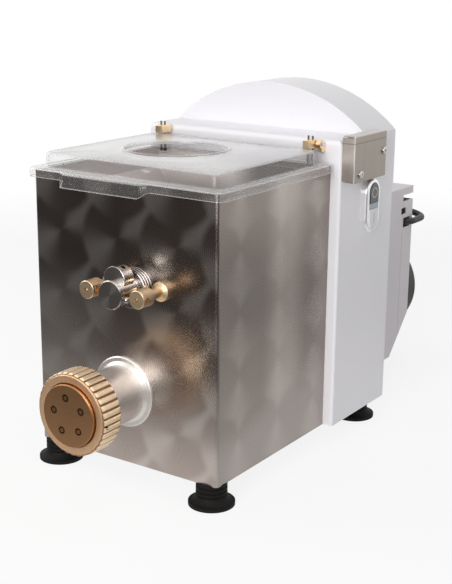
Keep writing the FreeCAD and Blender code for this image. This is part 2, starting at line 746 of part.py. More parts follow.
def kneader_gear():
    blank = gear(KNEADER, KNEADER_TEETH, SLOW_MODULE, KNEADER_PHASE, KNEADER_SHAFT_R, SLOW_FRONT, SLOW_BACK)
    return lighten(blank, KNEADER, KNEADER_TEETH, SLOW_MODULE, KNEADER_SHAFT_R + 8, SLOW_FRONT, SLOW_BACK)


def layshaft_gear():
    r = lay_shaft_r()
    blank = gear(LAYSHAFT, LAY_GEAR_TEETH, FAST_MODULE, LAY_GEAR_PHASE, r, FAST_FRONT, FAST_BACK)
    return lighten(blank, LAYSHAFT, LAY_GEAR_TEETH, FAST_MODULE, r + 8, FAST_FRONT, FAST_BACK)


def layshaft():
    """The pinion shaft, with a collar that the fast gear is pressed against."""
    r = lay_shaft_r()
    pinion = gear(LAYSHAFT, LAY_PINION_TEETH, SLOW_MODULE, LAY_PINION_PHASE, r, SLOW_FRONT - 1, SLOW_BACK + 1)
    collar = ring_y(*LAYSHAFT, 11.0, r, SLOW_BACK + 1, FAST_FRONT)
    return pinion.fuse([collar, rod_y(*LAYSHAFT, r, BOX_FRONT + 2.5, COVER_BACK - 2.5)]).removeSplitter()




def motor_pinion():
    return gear(AUGER, MOTOR_PINION_TEETH, FAST_MODULE, MOTOR_PINION_PHASE, PINION_SHAFT_R,
                FAST_FRONT, FAST_BACK)


# Extruder
def extruder_barrel():
    head_back = -HEAD_BACK
    outline = [(TUB_SHEET + TROUGH_WALL, CHANNEL_R), (TUB_SHEET + TROUGH_WALL, BARREL_SPIGOT)]
    outline += [(0, BARREL_SPIGOT), (0, FLANGE_R), (-FLANGE_THICK + 1, FLANGE_R)]
    outline += [(-FLANGE_THICK, FLANGE_R - 1.2), (-FLANGE_THICK, BARREL_R + 3)]
    outline += [(-FLANGE_THICK - 3, BARREL_R), (head_back, BARREL_R), (head_back, HEAD_R)]
    turns = int((HEAD_FRONT - HEAD_BACK) / THREAD_PITCH)
    for i in range(turns):
        y = head_back - THREAD_PITCH * (i + 0.6)
        outline += [(y, HEAD_R), (y - 0.7, HEAD_R - THREAD_DEPTH), (y - 1.4, HEAD_R)]
    outline += [(-HEAD_FRONT, HEAD_R), (-HEAD_FRONT, CHANNEL_R)]
    return turned_y(*AUGER, outline)


def ring_nut():
    bore = HEAD_R + THREAD_FIT
    lip_back = -NUT_FRONT + NUT_LIP
    outline = [(-NUT_BACK, bore + 0.8), (-NUT_BACK, NUT_R - 1), (-NUT_BACK - 1, NUT_R)]
    outline += [(-NUT_FRONT + NUT_CHAMFER, NUT_R), (-NUT_FRONT, NUT_R - NUT_CHAMFER)]
    outline += [(-NUT_FRONT, NUT_LIP_R + 1.6), (-NUT_FRONT + 1.6, NUT_LIP_R), (lip_back, NUT_LIP_R)]
    outline += [(lip_back, bore), (-NUT_BACK - 0.8, bore)]
    nut = turned_y(*AUGER, outline)
    flutes = []
    for i in range(NUT_FLUTES):
        t = 2 * math.pi * i / NUT_FLUTES
        x = AUGER[0] + (NUT_R + 0.3) * math.cos(t)
        z = AUGER[1] + (NUT_R + 0.3) * math.sin(t)
        flutes.append(rod_y(x, z, FLUTE_R, -NUT_FRONT - 1, -NUT_BACK + 1))
    nut = nut.cut(group(flutes))
    hole_y = -NUT_FRONT + NUT_CHAMFER + NUT_HOLE_R + 0.5
    for side in (-1, 1):
        reach = V(side, 0, -0.12 * side)
        nut = nut.cut(Part.makeCylinder(NUT_HOLE_R, 8, V(side * (NUT_R - 5.5), hole_y, AUGER_Z), reach))
    return nut


def insert_places():
    spots = []
    for i in range(INSERT_COUNT):
        t = math.radians(INSERT_ANGLE + 360 * i / INSERT_COUNT)
        spots.append((INSERT_RING * math.cos(t), AUGER_Z + INSERT_RING * math.sin(t)))
    return spots


def die_plate():
    back = -HEAD_FRONT - DIE_RIM_GAP
    shoulder = -NUT_FRONT + NUT_LIP + DIE_SEAT_GAP
    rim = HEAD_R - DIE_RIM_GAP
    outline = [(back, 0), (back, rim), (shoulder, rim), (shoulder, DIE_FACE_R)]
    outline += [(-DIE_FACE_Y + 0.6, DIE_FACE_R), (-DIE_FACE_Y, DIE_FACE_R - 0.6), (-DIE_FACE_Y, 0)]
    plate = turned_y(*AUGER, outline)
    return plate.cut(group([rod_y(x, z, INSERT_R, -DIE_FACE_Y - 1, back + 1) for x, z in insert_places()]))


def die_inserts():
    """Round inserts: a tube round a core that hangs on a bridge at the back."""
    back = -HEAD_FRONT - DIE_RIM_GAP
    inserts = []
    for x, z in insert_places():
        tube = ring_y(x, z, INSERT_R, SLOT_R, -DIE_FACE_Y, back)
        core = rod_y(x, z, CORE_R, -DIE_FACE_Y, back)
        bridge = box(x - SLOT_R - 0.3, x + SLOT_R + 0.3, back - 3, back, z - 0.8, z + 0.8)
        inserts.append(tube.fuse([core, bridge]).removeSplitter())
    return group(inserts)


# Auger and kneader
def auger_screw():
    front = -HEAD_FRONT + 3
    rear = HUB_BACK
    core = rod_y(*AUGER, AUGER_CORE, front, rear)
    tip = Part.makeCone(AUGER_CORE - 4, AUGER_CORE, 3, V(0, front - 2, AUGER_Z), V(0, 1, 0))
    slot = box(-4.1, 4.1, rear - 12, rear + 1, AUGER_Z - AUGER_CORE, AUGER_Z + AUGER_CORE)
    core = core.fuse(tip).cut(slot)
    flight = helical_flight(front + FLIGHT_THICK)
    return core.fuse(flight)


def helical_flight(start):
    """One flight, wound on the core as a ruled band with a front and a back face."""
    length = AUGER_PITCH * FLIGHT_TURNS
    middle = (AUGER_CORE + AUGER_R) / 2
    path = Part.makeLongHelix(AUGER_PITCH, length, middle)
    half = FLIGHT_THICK / 2
    inner = AUGER_CORE - 1
    corners = [V(inner, 0, -half - 0.6), V(AUGER_R, 0, -half + 0.5), V(AUGER_R, 0, half - 0.5),
               V(inner, 0, half + 0.6)]
    section = Part.makePolygon(corners + [corners[0]])
    flight = Part.Wire(path.Edges).makePipeShell([section], True, True)
    flight.rotate(V(0, 0, 0), V(1, 0, 0), -90)
    flight.translate(V(0, start, AUGER_Z))
    return flight


def auger_drive_shaft():
    start = HUB_BACK + 0.3
    shaft = rod_y(*AUGER, AUGER_SHAFT_R, start, WEB_BACK)
    tongue = box(-4, 4, HUB_BACK - 11.5, start + 1, AUGER_Z - 7, AUGER_Z + 7)
    return shaft.fuse(tongue).removeSplitter()


def kneader_arms():
    hub = rod_y(*KNEADER, HUB_R, HUB_FRONT, HUB_BACK)
    parts = [hub]
    spacing = (HUB_BACK - HUB_FRONT - 36) / (ARM_COUNT - 1)
    for i in range(ARM_COUNT):
        y = HUB_FRONT + 18 + spacing * i
        parts.append(around(kneader_arm(y), V(KNEADER_X, 0, KNEADER_Z), V(0, 1, 0), 90 + 144 * i))
    arms = fuse(parts)
    front_bore = rod_y(*KNEADER, PIVOT_SHANK_R + RUN_FIT, HUB_FRONT - 1, PIVOT_SHANK_END + 2)
    socket = box(KNEADER_X - 4.1, KNEADER_X + 4.1, HUB_BACK - 12, HUB_BACK + 1,
                 KNEADER_Z - HUB_R, KNEADER_Z + HUB_R)
    return arms.cut(front_bore).cut(socket)


def kneader_arm(y):
    """One arm pointing along +X, with a twisted paddle at its end."""
    wide, thick, deep = PADDLE
    reach = KNEADER_REACH - 3
    arm = rod_x(y, KNEADER_Z, ARM_R, KNEADER_X, KNEADER_X + reach - deep + 2)
    blade = box(reach - deep, reach, -wide / 2, wide / 2, -thick / 2, thick / 2)
    blade.rotate(V(0, 0, 0), V(1, 0, 0), PADDLE_TWIST)
    return arm.fuse(blade.translated(V(KNEADER_X, y, KNEADER_Z)))


def kneader_drive_shaft():
    start = HUB_BACK + 0.3
    shaft = rod_y(*KNEADER, KNEADER_SHAFT_R, start, COVER_BACK - 2.5)
    tongue = box(KNEADER_X - 4, KNEADER_X + 4, HUB_BACK - 11.5, start + 1, KNEADER_Z - 7, KNEADER_Z + 7)
    return shaft.fuse(tongue).removeSplitter()


# Front pivot and posts
def pivot_collar():
    """The ringed steel bush on the tub's front wall."""
    inner = PIVOT_NECK_R + RUN_FIT
    spigot = PIVOT_NECK_R + 1.5
    end = TUB_SHEET + TROUGH_WALL
    outline = [(end, inner), (end, spigot), (0, spigot), (0, COLLAR_R)]
    bands = 4
    step = COLLAR_THICK / bands
    for i in range(bands):
        y = -step * i
        outline += [(y - step * 0.2, COLLAR_R), (y - step * 0.8, COLLAR_R), (y - step * 0.9, COLLAR_R - 0.6)]
        outline.append((y - step, COLLAR_R - 0.6))
    outline.append((-COLLAR_THICK, inner))
    return turned_y(*KNEADER, outline)


def pivot_pin():
    back = -COLLAR_THICK - 0.3
    outline = [(PIVOT_SHANK_END, 0), (PIVOT_SHANK_END, PIVOT_SHANK_R - 1),
               (PIVOT_SHANK_END - 1, PIVOT_SHANK_R)]
    outline += [(TUB_SHEET + TROUGH_WALL + 1, PIVOT_SHANK_R), (TUB_SHEET + TROUGH_WALL + 1, PIVOT_NECK_R)]
    outline += [(back, PIVOT_NECK_R), (back, PIVOT_HEAD_R + 0.6), (back - 2, PIVOT_HEAD_R + 0.6)]
    outline += [(back - 2, PIVOT_HEAD_R), (-PIVOT_FRONT + 1, PIVOT_HEAD_R), (-PIVOT_FRONT, PIVOT_HEAD_R - 1)]
    outline += [(-PIVOT_FRONT, 0)]
    pin = turned_y(*KNEADER, outline)
    lug = pivot_lug()
    stub = rod_x(-PIVOT_FRONT + 5, KNEADER_Z - 3, SCREW_STUB_R + 0.01, KNEADER_X, KNEADER_X + 30)
    return pin.fuse(lug).removeSplitter().cut(stub).cut(lug_hole())


def pivot_lug():
    """The round finger lug that stands off the pin's axis."""
    lug = rod_y(*lug_centre(), LUG_R, -LUG_FRONT, -LUG_BACK)
    rims = [e for e in lug.Edges if e.Curve.TypeId == "Part::GeomCircle"]
    return lug.makeFillet(0.8, rims)


def lug_centre():
    return KNEADER_X + LUG_SHIFT[0], KNEADER_Z + LUG_SHIFT[1]


def lug_hole():
    """A blind cross hole from the top of the lug."""
    x, z = lug_centre()
    t = math.radians(LUG_HOLE_LEAN)
    out = V(math.sin(t), 0, math.cos(t))
    mouth = V(x, -(LUG_FRONT + LUG_BACK) / 2, z) + out * (LUG_R + 1)
    return Part.makeCylinder(LUG_HOLE_R, LUG_R, mouth, out * -1)


def pivot_screw():
    """The small round-headed screw at the side of the pivot pin."""
    y = -PIVOT_FRONT + 5
    z = KNEADER_Z - 3
    shank = rod_x(y, z, SCREW_STUB_R, KNEADER_X + 5, KNEADER_X + PIVOT_HEAD_R + 2)
    ball = Part.makeSphere(SCREW_STUB_R + 0.4, V(KNEADER_X + PIVOT_HEAD_R + 2.2, y, z))
    return shank.fuse(ball)


def cutter_posts():
    posts = []
    for side in (-1, 1):
        x = KNEADER_X + side * POST_SPACING
        head_back = -POST_FRONT + POST_HEAD_LONG
        outline = [(TUB_SHEET + TROUGH_WALL, 0), (TUB_SHEET + TROUGH_WALL, POST_STUD_R), (0, POST_STUD_R)]
        outline += [(0, POST_FOOT_R), (-POST_FOOT_LONG, POST_FOOT_R), (-POST_FOOT_LONG - 1.5, POST_NECK_R)]
        outline += [(head_back + 1.5, POST_NECK_R), (head_back, POST_HEAD_R),
                    (-POST_FRONT + 0.6, POST_HEAD_R)]
        outline += [(-POST_FRONT, POST_HEAD_R - 0.6), (-POST_FRONT, 0)]
        post = turned_y(x, KNEADER_Z, outline)
        cross_y = -POST_FRONT + POST_HEAD_LONG * 0.33
        post = post.cut(rod_x(cross_y, KNEADER_Z, POST_HOLE_R, x - 20, x + 20))
        post = post.cut(rod_y(x, KNEADER_Z, 2.0, -POST_FRONT - 1, -POST_FRONT + 5))
        posts.append(post)
    return group(posts)


# Lid
def lid():
    flange_top = LID_REST + LID_WALL
    skirt = rounded_block(-LID_HALF, LID_HALF, LID_FRONT, LID_BACK, LID_SKIRT, flange_top, LID_CORNER)
    raised = rounded_block(-RAISED_HALF, RAISED_HALF, RAISED_FRONT, RAISED_BACK, LID_REST,
                           RAISED_TOP, RAISED_CORNER)
    top_edges = [e for e in raised.Edges if abs(e.CenterOfMass.z - RAISED_TOP) < 0.01]
    raised = raised.makeFillet(RAISED_EDGE, top_edges)
    outer = skirt.fuse(raised).fuse(front_lip(0))
    in_half = LID_HALF - LID_WALL
    below = LID_SKIRT - LIP_DROP - 5
    inner = rounded_block(-in_half, in_half, LID_FRONT + LID_WALL, LID_BACK + 30, below,
                          LID_REST, LID_CORNER - LID_WALL)
    half = RAISED_HALF - LID_WALL
    top = RAISED_TOP - LID_WALL
    front = RAISED_FRONT + LID_WALL
    hollow = rounded_block(-half, half, front, RAISED_BACK - LID_WALL, LID_REST - 1, top,
                           RAISED_CORNER - LID_WALL)
    shell = outer.cut(inner).cut(hollow).cut(front_lip(LID_WALL))
    rim = rod_z(OPENING_X, OPENING_Y, OPENING_R + RIM_WIDE, RAISED_TOP - 1, RAISED_TOP + RIM_TALL)
    rim_edge = [e for e in rim.Edges if abs(e.CenterOfMass.z - RAISED_TOP - RIM_TALL) < 0.01]
    shell = shell.fuse(rim.makeFillet(RIM_EDGE, rim_edge))
    opening = rod_z(OPENING_X, OPENING_Y, OPENING_R, RAISED_TOP - 10, RAISED_TOP + 10)
    return shell.cut(opening).cut(group(hinge_screw_rods()))


def front_lip(inset):
    """The finger lip: a stretch of the front skirt that stands out and hangs lower."""
    x0 = LIP_LEFT + inset
    x1 = LIP_RIGHT - inset
    y0 = LID_FRONT - LIP_OUT + inset
    y1 = LID_FRONT + LID_WALL
    top = LID_REST + LID_WALL - inset
    low = LID_SKIRT - LIP_DROP - inset
    slope = top - LIP_OUT / 2
    corners = [V(x0, y0, low), V(x0, y1, low), V(x0, y1, top), V(x0, y0 + LIP_OUT, top), V(x0, y0, slope)]
    return polygon(corners, V(x1 - x0, 0, 0))


def hinge_blocks():
    """Bronze blocks behind the raised box: a foot on the flange and a head over the top's edge."""
    blocks = []
    flange_top = LID_REST + LID_WALL
    for side in (-1, 1):
        low, high = sorted((side * BLOCK_IN, side * BLOCK_OUT))
        head = box(low, high, BLOCK_FRONT, BLOCK_BACK, RAISED_TOP, BLOCK_TOP)
        block = head.fuse(box(low, high, RAISED_BACK, LEG_BACK, flange_top, BLOCK_TOP)).removeSplitter()
        ends = [e for e in block.Edges if abs(e.tangentAt(e.FirstParameter).x) > 0.9]
        tops = [e for e in ends if e.CenterOfMass.z > BLOCK_TOP - 0.1]
        block = block.makeFillet(2.0, tops)
        blocks.append(block.cut(rod_x(HINGE_Y, HINGE_Z, HINGE_PIN_R, low - 1, high + 1)))
    return group(blocks).cut(group(hinge_screw_rods()))


def hinge_screw_places():
    spots = []
    y = (RAISED_BACK + HINGE_Y - HINGE_PIN_R) / 2
    for side in (-1, 1):
        middle = side * (BLOCK_IN + BLOCK_OUT) / 2
        spots += [(middle - HINGE_SCREW_SPREAD, y), (middle + HINGE_SCREW_SPREAD, y)]
    return spots


def hinge_screw_rods():
    low = LID_REST - HINGE_NUT_H - 1
    return [rod_z(x, y, HINGE_SCREW_R, low, BLOCK_TOP + HINGE_SCREW_TOP) for x, y in hinge_screw_places()]


def hinge_screws():
    """Slotted screws with their nuts under the lid's flange."""
    screws = []
    for x, y in hinge_screw_places():
        low = LID_REST - HINGE_NUT_H
        top = BLOCK_TOP + HINGE_SCREW_TOP
        shank = rod_z(x, y, HINGE_SCREW_R, low - 1, top)
        nut = hexagon(HINGE_NUT_R, HINGE_NUT_H).translated(V(x, y, low))
        slot = box(x - 0.35, x + 0.35, y - 5, y + 5, top - 1, top + 1)
        screws.append(shank.fuse(nut).removeSplitter().cut(slot))
    return group(screws)


def hinge_pins():
    pins = []
    for side in (-1, 1):
        low, high = sorted((side * (BLOCK_IN + 1), side * (BRACKET_OUT + 0.8)))
        pins.append(rod_x(HINGE_Y, HINGE_Z, HINGE_PIN_R, low, high))
    return group(pins)


def hinge_brackets():
    brackets = []
    for side in (-1, 1):
        low, high = sorted((side * BRACKET_IN, side * BRACKET_OUT))
        lug = box(low, high, HINGE_Y, CASING_FRONT, HINGE_Z - BRACKET_NOSE_R, HINGE_Z + BRACKET_NOSE_R)
        lug = lug.common(box(low, high, HINGE_Y, CASING_FRONT, 0, LEDGE_HEIGHT - LEDGE_EDGE))
        nose = rod_x(HINGE_Y, HINGE_Z, BRACKET_NOSE_R, low, high)
        foot = box(low, high, HINGE_Y, CASING_FRONT, HINGE_Z - 8, HINGE_Z - 4)
        lug = nose.fuse([lug, foot]).removeSplitter()
        brackets.append(lug.cut(rod_x(HINGE_Y, HINGE_Z, HINGE_PIN_R + RUN_FIT, low - 1, high + 1)))
    return group(brackets)


def interlock_switch():
    """The lid's safety switch, inside the steel cover on the casing's side."""
    wide, deep, tall = SWITCH_BODY
    y0 = CASING_FRONT + COVER_FRONT_INSET + COVER_SHEET + COVER_RELIEF * 2
    z1 = COVER_TOP - COVER_SHEET - COVER_RELIEF
    return box(CASING_HALF, CASING_HALF + wide, y0, y0 + deep, z1 - tall, z1)


# Switch cover
def switch_cover():
    y0 = CASING_FRONT + COVER_FRONT_INSET
    y1 = y0 + COVER_LONG
    x0 = CASING_HALF
    plate = box(COVER_FACE - COVER_SHEET, COVER_FACE, y0, y1, COVER_BOTTOM, COVER_TOP)
    z0 = COVER_BOTTOM + COVER_RELIEF
    z1 = COVER_TOP - COVER_RELIEF
    front = box(x0, COVER_FACE, y0, y0 + COVER_SHEET, z0, z1)
    back = box(x0, COVER_FACE, y1 - COVER_SHEET, y1, z0, z1)
    inset = COVER_SHEET + COVER_RELIEF
    top = box(x0, COVER_FACE, y0 + inset, y1 - inset, COVER_TOP - COVER_SHEET, COVER_TOP)
    bottom = box(x0, COVER_FACE, y0 + inset, y1 - inset, COVER_BOTTOM, COVER_BOTTOM + COVER_SHEET)
    cover = fuse([plate, front, back, top, bottom])
    holes = [rod_x(y, z, SCREW_SHANK_R, COVER_FACE - 3, COVER_FACE + 1) for y, z in COVER_SCREWS]
    return cover.cut(group(holes))


def cover_screws():
    screws = []
    for y, z in COVER_SCREWS:
        head = rod_x(y, z, SCREW_HEAD_R, COVER_FACE, COVER_FACE + SCREW_HEAD_H)
        rim = [e for e in head.Edges if abs(e.CenterOfMass.x - COVER_FACE - SCREW_HEAD_H) < 0.01]
        head = head.makeFillet(1.2, rim)
        cross = box(COVER_FACE + 1, COVER_FACE + 4, y - 2.4, y + 2.4, z - 0.5, z + 0.5)
        cross = cross.fuse(box(COVER_FACE + 1, COVER_FACE + 4, y - 0.5, y + 0.5, z - 2.4, z + 2.4))
        shank = rod_x(y, z, SCREW_SHANK_R, CASING_HALF - 5, COVER_FACE + 0.5)
        screws.append(head.cut(cross).fuse(shank).removeSplitter())
    return group(screws)


# Push buttons
def stadium(x0, x1, half, tall):
    """An upright oval: straight sides, round ends."""
    straight = tall / 2 - half
    middle = box(x0, x1, BEZEL_Y - half, BEZEL_Y + half, BEZEL_Z - straight, BEZEL_Z + straight)
    ends = [rod_x(BEZEL_Y, BEZEL_Z + s * straight, half, x0, x1) for s in (-1, 1)]
    return fuse([middle] + ends)


def button_bezel():
    face = CASING_HALF + BEZEL_OUT
    ring = stadium(CASING_HALF, face, BEZEL_HALF, BEZEL_TALL)
    rim = [e for e in ring.Edges if abs(e.CenterOfMass.x - face) < 0.01]
    ring = ring.makeFillet(3.0, rim)
    ring = ring.cut(stadium(face - POCKET_DEEP, face + 1, POCKET_HALF, POCKET_TALL))
    neck = rod_x(BEZEL_Y, BEZEL_Z, NECK_R, CASING_HALF - NECK_LONG, CASING_HALF + 0.5)
    bezel = ring.fuse(neck).removeSplitter()
    for side in (-1, 1):
        z = BEZEL_Z + side * STEM_OFFSET
        bezel = bezel.cut(rod_x(BEZEL_Y, z, STEM_R + 0.3, CASING_HALF - NECK_LONG - 1, face))
    return bezel


def button(side):
    """The upper (1) or lower (-1) button: half an oval on a stem."""
    face = CASING_HALF + BEZEL_OUT
    floor = face - POCKET_DEEP
    back = floor + BUTTON_TRAVEL + 0.3
    body = stadium(back, face + 0.8, POCKET_HALF - BUTTON_GAP, POCKET_TALL - 2 * BUTTON_GAP)
    z0 = LENS_TALL / 2 + BUTTON_GAP
    low, high = sorted((side * z0, side * POCKET_TALL))
    body = body.common(box(back, face + 1, BEZEL_Y - 30, BEZEL_Y + 30, BEZEL_Z + low, BEZEL_Z + high))
    rim = [e for e in body.Edges if abs(e.CenterOfMass.x - face - 0.8) < 0.01]
    body = body.makeFillet(0.8, rim)
    stem_end = CASING_HALF - NECK_LONG + BUTTON_TRAVEL + 0.5
    stem = rod_x(BEZEL_Y, BEZEL_Z + side * STEM_OFFSET, STEM_R, stem_end, back + 0.5)
    return body.fuse(stem).removeSplitter()


def pilot_lens():
    face = CASING_HALF + BEZEL_OUT
    lens = box(face - POCKET_DEEP, face + 0.3, BEZEL_Y - POCKET_HALF, BEZEL_Y + POCKET_HALF,
               BEZEL_Z - LENS_TALL / 2, BEZEL_Z + LENS_TALL / 2)
    holes = [rod_x(BEZEL_Y, BEZEL_Z + s * STEM_OFFSET, STEM_R + 0.3, face - 20, face + 5) for s in (-1, 1)]
    return lens.cut(group(holes))


def contact_block():
    deep, wide, tall = CONTACT_BLOCK
    x1 = CASING_HALF - NECK_LONG
    return box(x1 - deep, x1, BEZEL_Y - wide / 2, BEZEL_Y + wide / 2, BEZEL_Z - tall / 2, BEZEL_Z + tall / 2)


# Motor
def motor_bolt_places():
    spots = []
    for i in range(4):
        t = math.radians(45 + 90 * i)
        spots.append((MOTOR_BOLT_RING * math.cos(t), AUGER_Z + MOTOR_BOLT_RING * math.sin(t)))
    return spots


def motor_frame():
    tube = rod_y(*AUGER, MOTOR_R, MOTOR_FRONT, MOTOR_BACK)
    fins = [tube]
    for i in range(FIN_COUNT):
        fin = box(MOTOR_R - 1, FIN_R, MOTOR_FRONT, MOTOR_BACK, AUGER_Z - FIN_THICK / 2,
                  AUGER_Z + FIN_THICK / 2)
        fins.append(around(fin, V(0, 0, AUGER_Z), V(0, 1, 0), 360 * i / FIN_COUNT))
    saddle = box(-16, 16, TERMINAL_Y[0], TERMINAL_Y[1], AUGER_Z + 40, AUGER_Z + FIN_R + 1)
    frame = fuse(fins + [saddle])
    frame = frame.cut(rod_y(*AUGER, MOTOR_BORE, MOTOR_FRONT - 1, MOTOR_BACK + 1))
    holes = [rod_y(x, z, MOTOR_BOLT_R, MOTOR_FRONT - 1, MOTOR_BACK + 1) for x, z in motor_bolt_places()]
    return frame.cut(group(holes))


def motor_shields():
    shields = []
    for y0, y1, r in ((COVER_BACK, MOTOR_FRONT, FIN_R), (MOTOR_BACK, SHIELD_BACK, SHIELD_R)):
        disc = ring_y(*AUGER, r, MOTOR_SHAFT_R + BEARING_RING, y0, y1)
        holes = [rod_y(x, z, MOTOR_BOLT_R, y0 - 1, y1 + 1) for x, z in motor_bolt_places()]
        shields.append(disc.cut(group(holes)))
    return group(shields)


def motor_bolts():
    bolts = []
    for x, z in motor_bolt_places():
        shank = rod_y(x, z, MOTOR_BOLT_R, BOX_BACK + 1, SHIELD_BACK + 1)
        head = rod_y(x, z, MOTOR_BOLT_R + 2, SHIELD_BACK, SHIELD_BACK + 3)
        bolts.append(shank.fuse(head).removeSplitter())
    return group(bolts)


def stator_core():
    start = MOTOR_FRONT + CORE_START
    core = ring_y(*AUGER, MOTOR_BORE, ROTOR_R + ROTOR_GAP, start, start + CORE_LONG)
    ends = []
    for y0 in (start - 14, start + CORE_LONG):
        ends.append(ring_y(*AUGER, MOTOR_BORE - 3, ROTOR_R + 3, y0, y0 + 14))
    return fuse([core] + ends)


def rotor_core():
    start = MOTOR_FRONT + CORE_START
    return ring_y(*AUGER, ROTOR_R, MOTOR_SHAFT_R, start, start + CORE_LONG)


def motor_shaft():
    front = WEB_BACK + 1
    step = BOX_BACK + 1
    outline = [(front, 0), (front, PINION_SHAFT_R), (step, PINION_SHAFT_R), (step, MOTOR_SHAFT_R)]
    outline += [(fan_front() + FAN_WIDE + 2, MOTOR_SHAFT_R), (fan_front() + FAN_WIDE + 2, 0)]
    return turned_y(*AUGER, outline)


def fan_front():
    return SHIELD_BACK + 8


def fan():
    y0 = fan_front()
    hub = ring_y(*AUGER, 15, MOTOR_SHAFT_R, y0, y0 + FAN_WIDE)
    plate = ring_y(*AUGER, FAN_R - 4, MOTOR_SHAFT_R, y0, y0 + 2)
    blades = [hub, plate]
    for i in range(FAN_BLADES):
        blade = box(13, FAN_R, y0, y0 + FAN_WIDE, AUGER_Z - 1.2, AUGER_Z + 1.2)
        blades.append(around(blade, V(0, 0, AUGER_Z), V(0, 1, 0), 360 * i / FAN_BLADES))
    return fuse(blades)


def fan_cowl():
    y0 = SHIELD_BACK - COWL_OVERLAP
    outer = rod_y(*AUGER, COWL_R, y0, COWL_END)
    rim = [e for e in outer.Edges if abs(e.CenterOfMass.y - COWL_END) < 0.01]
    outer = outer.makeFillet(3.0, rim)
    cowl = outer.cut(rod_y(*AUGER, COWL_R - COWL_WALL, y0 - 1, COWL_END - COWL_WALL))
    slots = []
    for i in range(COWL_SLOTS):
        slot = box(16, 46, COWL_END - 5, COWL_END + 1, AUGER_Z - 1.5, AUGER_Z + 1.5)
        slots.append(around(slot, V(0, 0, AUGER_Z), V(0, 1, 0), 360 * i / COWL_SLOTS))
    return cowl.cut(group(slots))


# Motor housing
def side_sheet(points, x0):
    return polygon([V(x0, y, z) for y, z in points], V(HOUSING_SHEET, 0, 0))


def slant_z(y):
    return (y - SLANT_FRONT) * SLANT_TOP / (HOUSING_BACK - SLANT_FRONT)


def motor_housing():
    """Sides and top of the sheet housing, with a folded lip under the top edge."""
    parts = [box(-HOUSING_HALF, HOUSING_HALF, CASING_BACK, HOUSING_BACK,
                 HOUSING_TOP - HOUSING_SHEET, HOUSING_TOP)]
    lip = HOUSING_TOP - HOUSING_LIP
    profile = [(CASING_BACK, 0), (SLANT_FRONT, 0), (HOUSING_SEAM, slant_z(HOUSING_SEAM)),
               (HOUSING_SEAM, NOTCH_LOW)]
    profile += [(NOTCH_FRONT, NOTCH_LOW), (NOTCH_FRONT, NOTCH_HIGH), (HOUSING_SEAM, NOTCH_HIGH)]
    profile += [(HOUSING_SEAM, lip), (HOUSING_BACK, lip), (HOUSING_BACK, HOUSING_TOP),
                (CASING_BACK, HOUSING_TOP)]
    for x0 in (-HOUSING_HALF, HOUSING_HALF - HOUSING_SHEET):
        parts.append(side_sheet(profile, x0))
    parts.append(box(-HOUSING_HALF, HOUSING_HALF, HOUSING_BACK - HOUSING_SHEET, HOUSING_BACK,
                     lip, HOUSING_TOP))
    return fuse(parts)


def motor_housing_rear():
    """The rear sheet with its two side flanges and the slanted foot."""
    front = HOUSING_SEAM + SEAM_GAP
    profile = [(front, slant_z(front)), (HOUSING_BACK, SLANT_TOP), (HOUSING_BACK, TAB_TOP), (front, TAB_TOP)]
    profile += [(front, NOTCH_HIGH), (NOTCH_BACK, NOTCH_HIGH), (NOTCH_BACK, NOTCH_LOW), (front, NOTCH_LOW)]
    parts = [side_sheet(profile, x0) for x0 in (-HOUSING_HALF, HOUSING_HALF - HOUSING_SHEET)]
    back = HOUSING_BACK - HOUSING_SHEET
    parts.append(box(-HOUSING_HALF, HOUSING_HALF, back, HOUSING_BACK, SLANT_TOP, TAB_TOP))
    half = HOUSING_HALF - HOUSING_SHEET - 0.2
    run = HOUSING_BACK - SLANT_FRONT
    t = HOUSING_SHEET * 1.4
    slant = [V(-half, SLANT_FRONT, 0), V(-half, SLANT_FRONT + run, SLANT_TOP)]
    slant += [V(-half, SLANT_FRONT + run, SLANT_TOP + t), V(-half, SLANT_FRONT, t)]
    parts.append(polygon(slant, V(half * 2, 0, 0)))
    sheet = fuse(parts)
    sheet = sheet.cut(rod_y(*AUGER, COWL_R + 1.5, back - 40, HOUSING_BACK + 1))
    sheet = sheet.cut(rod_y(*cable_return(), GLAND_R - 2, back - 1, HOUSING_BACK + 1))
    return sheet.cut(cable_exit_hole(0))


# Terminal box, capacitor and cable
def terminal_box():
    y0, y1 = TERMINAL_Y
    z0 = AUGER_Z + FIN_R + 1
    body = box(-TERMINAL_HALF, TERMINAL_HALF, y0, y1, z0, TERMINAL_TOP)
    return body.cut(rod_y(CABLE_START_X, CABLE_Z, CABLE_R, y1 - 6, y1 + 1))


def capacitor():
    z = TERMINAL_TOP + CAP_R
    y0 = TERMINAL_Y[0] + 4
    can = rod_y(0, z, CAP_R, y0, y0 + CAP_LONG)
    rims = [e for e in can.Edges if abs(e.tangentAt(e.FirstParameter).y) < 0.5]
    return can.makeFillet(1.5, rims)


def cable_return():
    """Where the returning strand runs: the loop is tipped up about the outgoing strand."""
    tip = math.asin(CABLE_RISE / (2 * CABLE_LOOP_R))
    return CABLE_OUT_X - 2 * CABLE_LOOP_R * math.cos(tip), CABLE_Z + CABLE_RISE


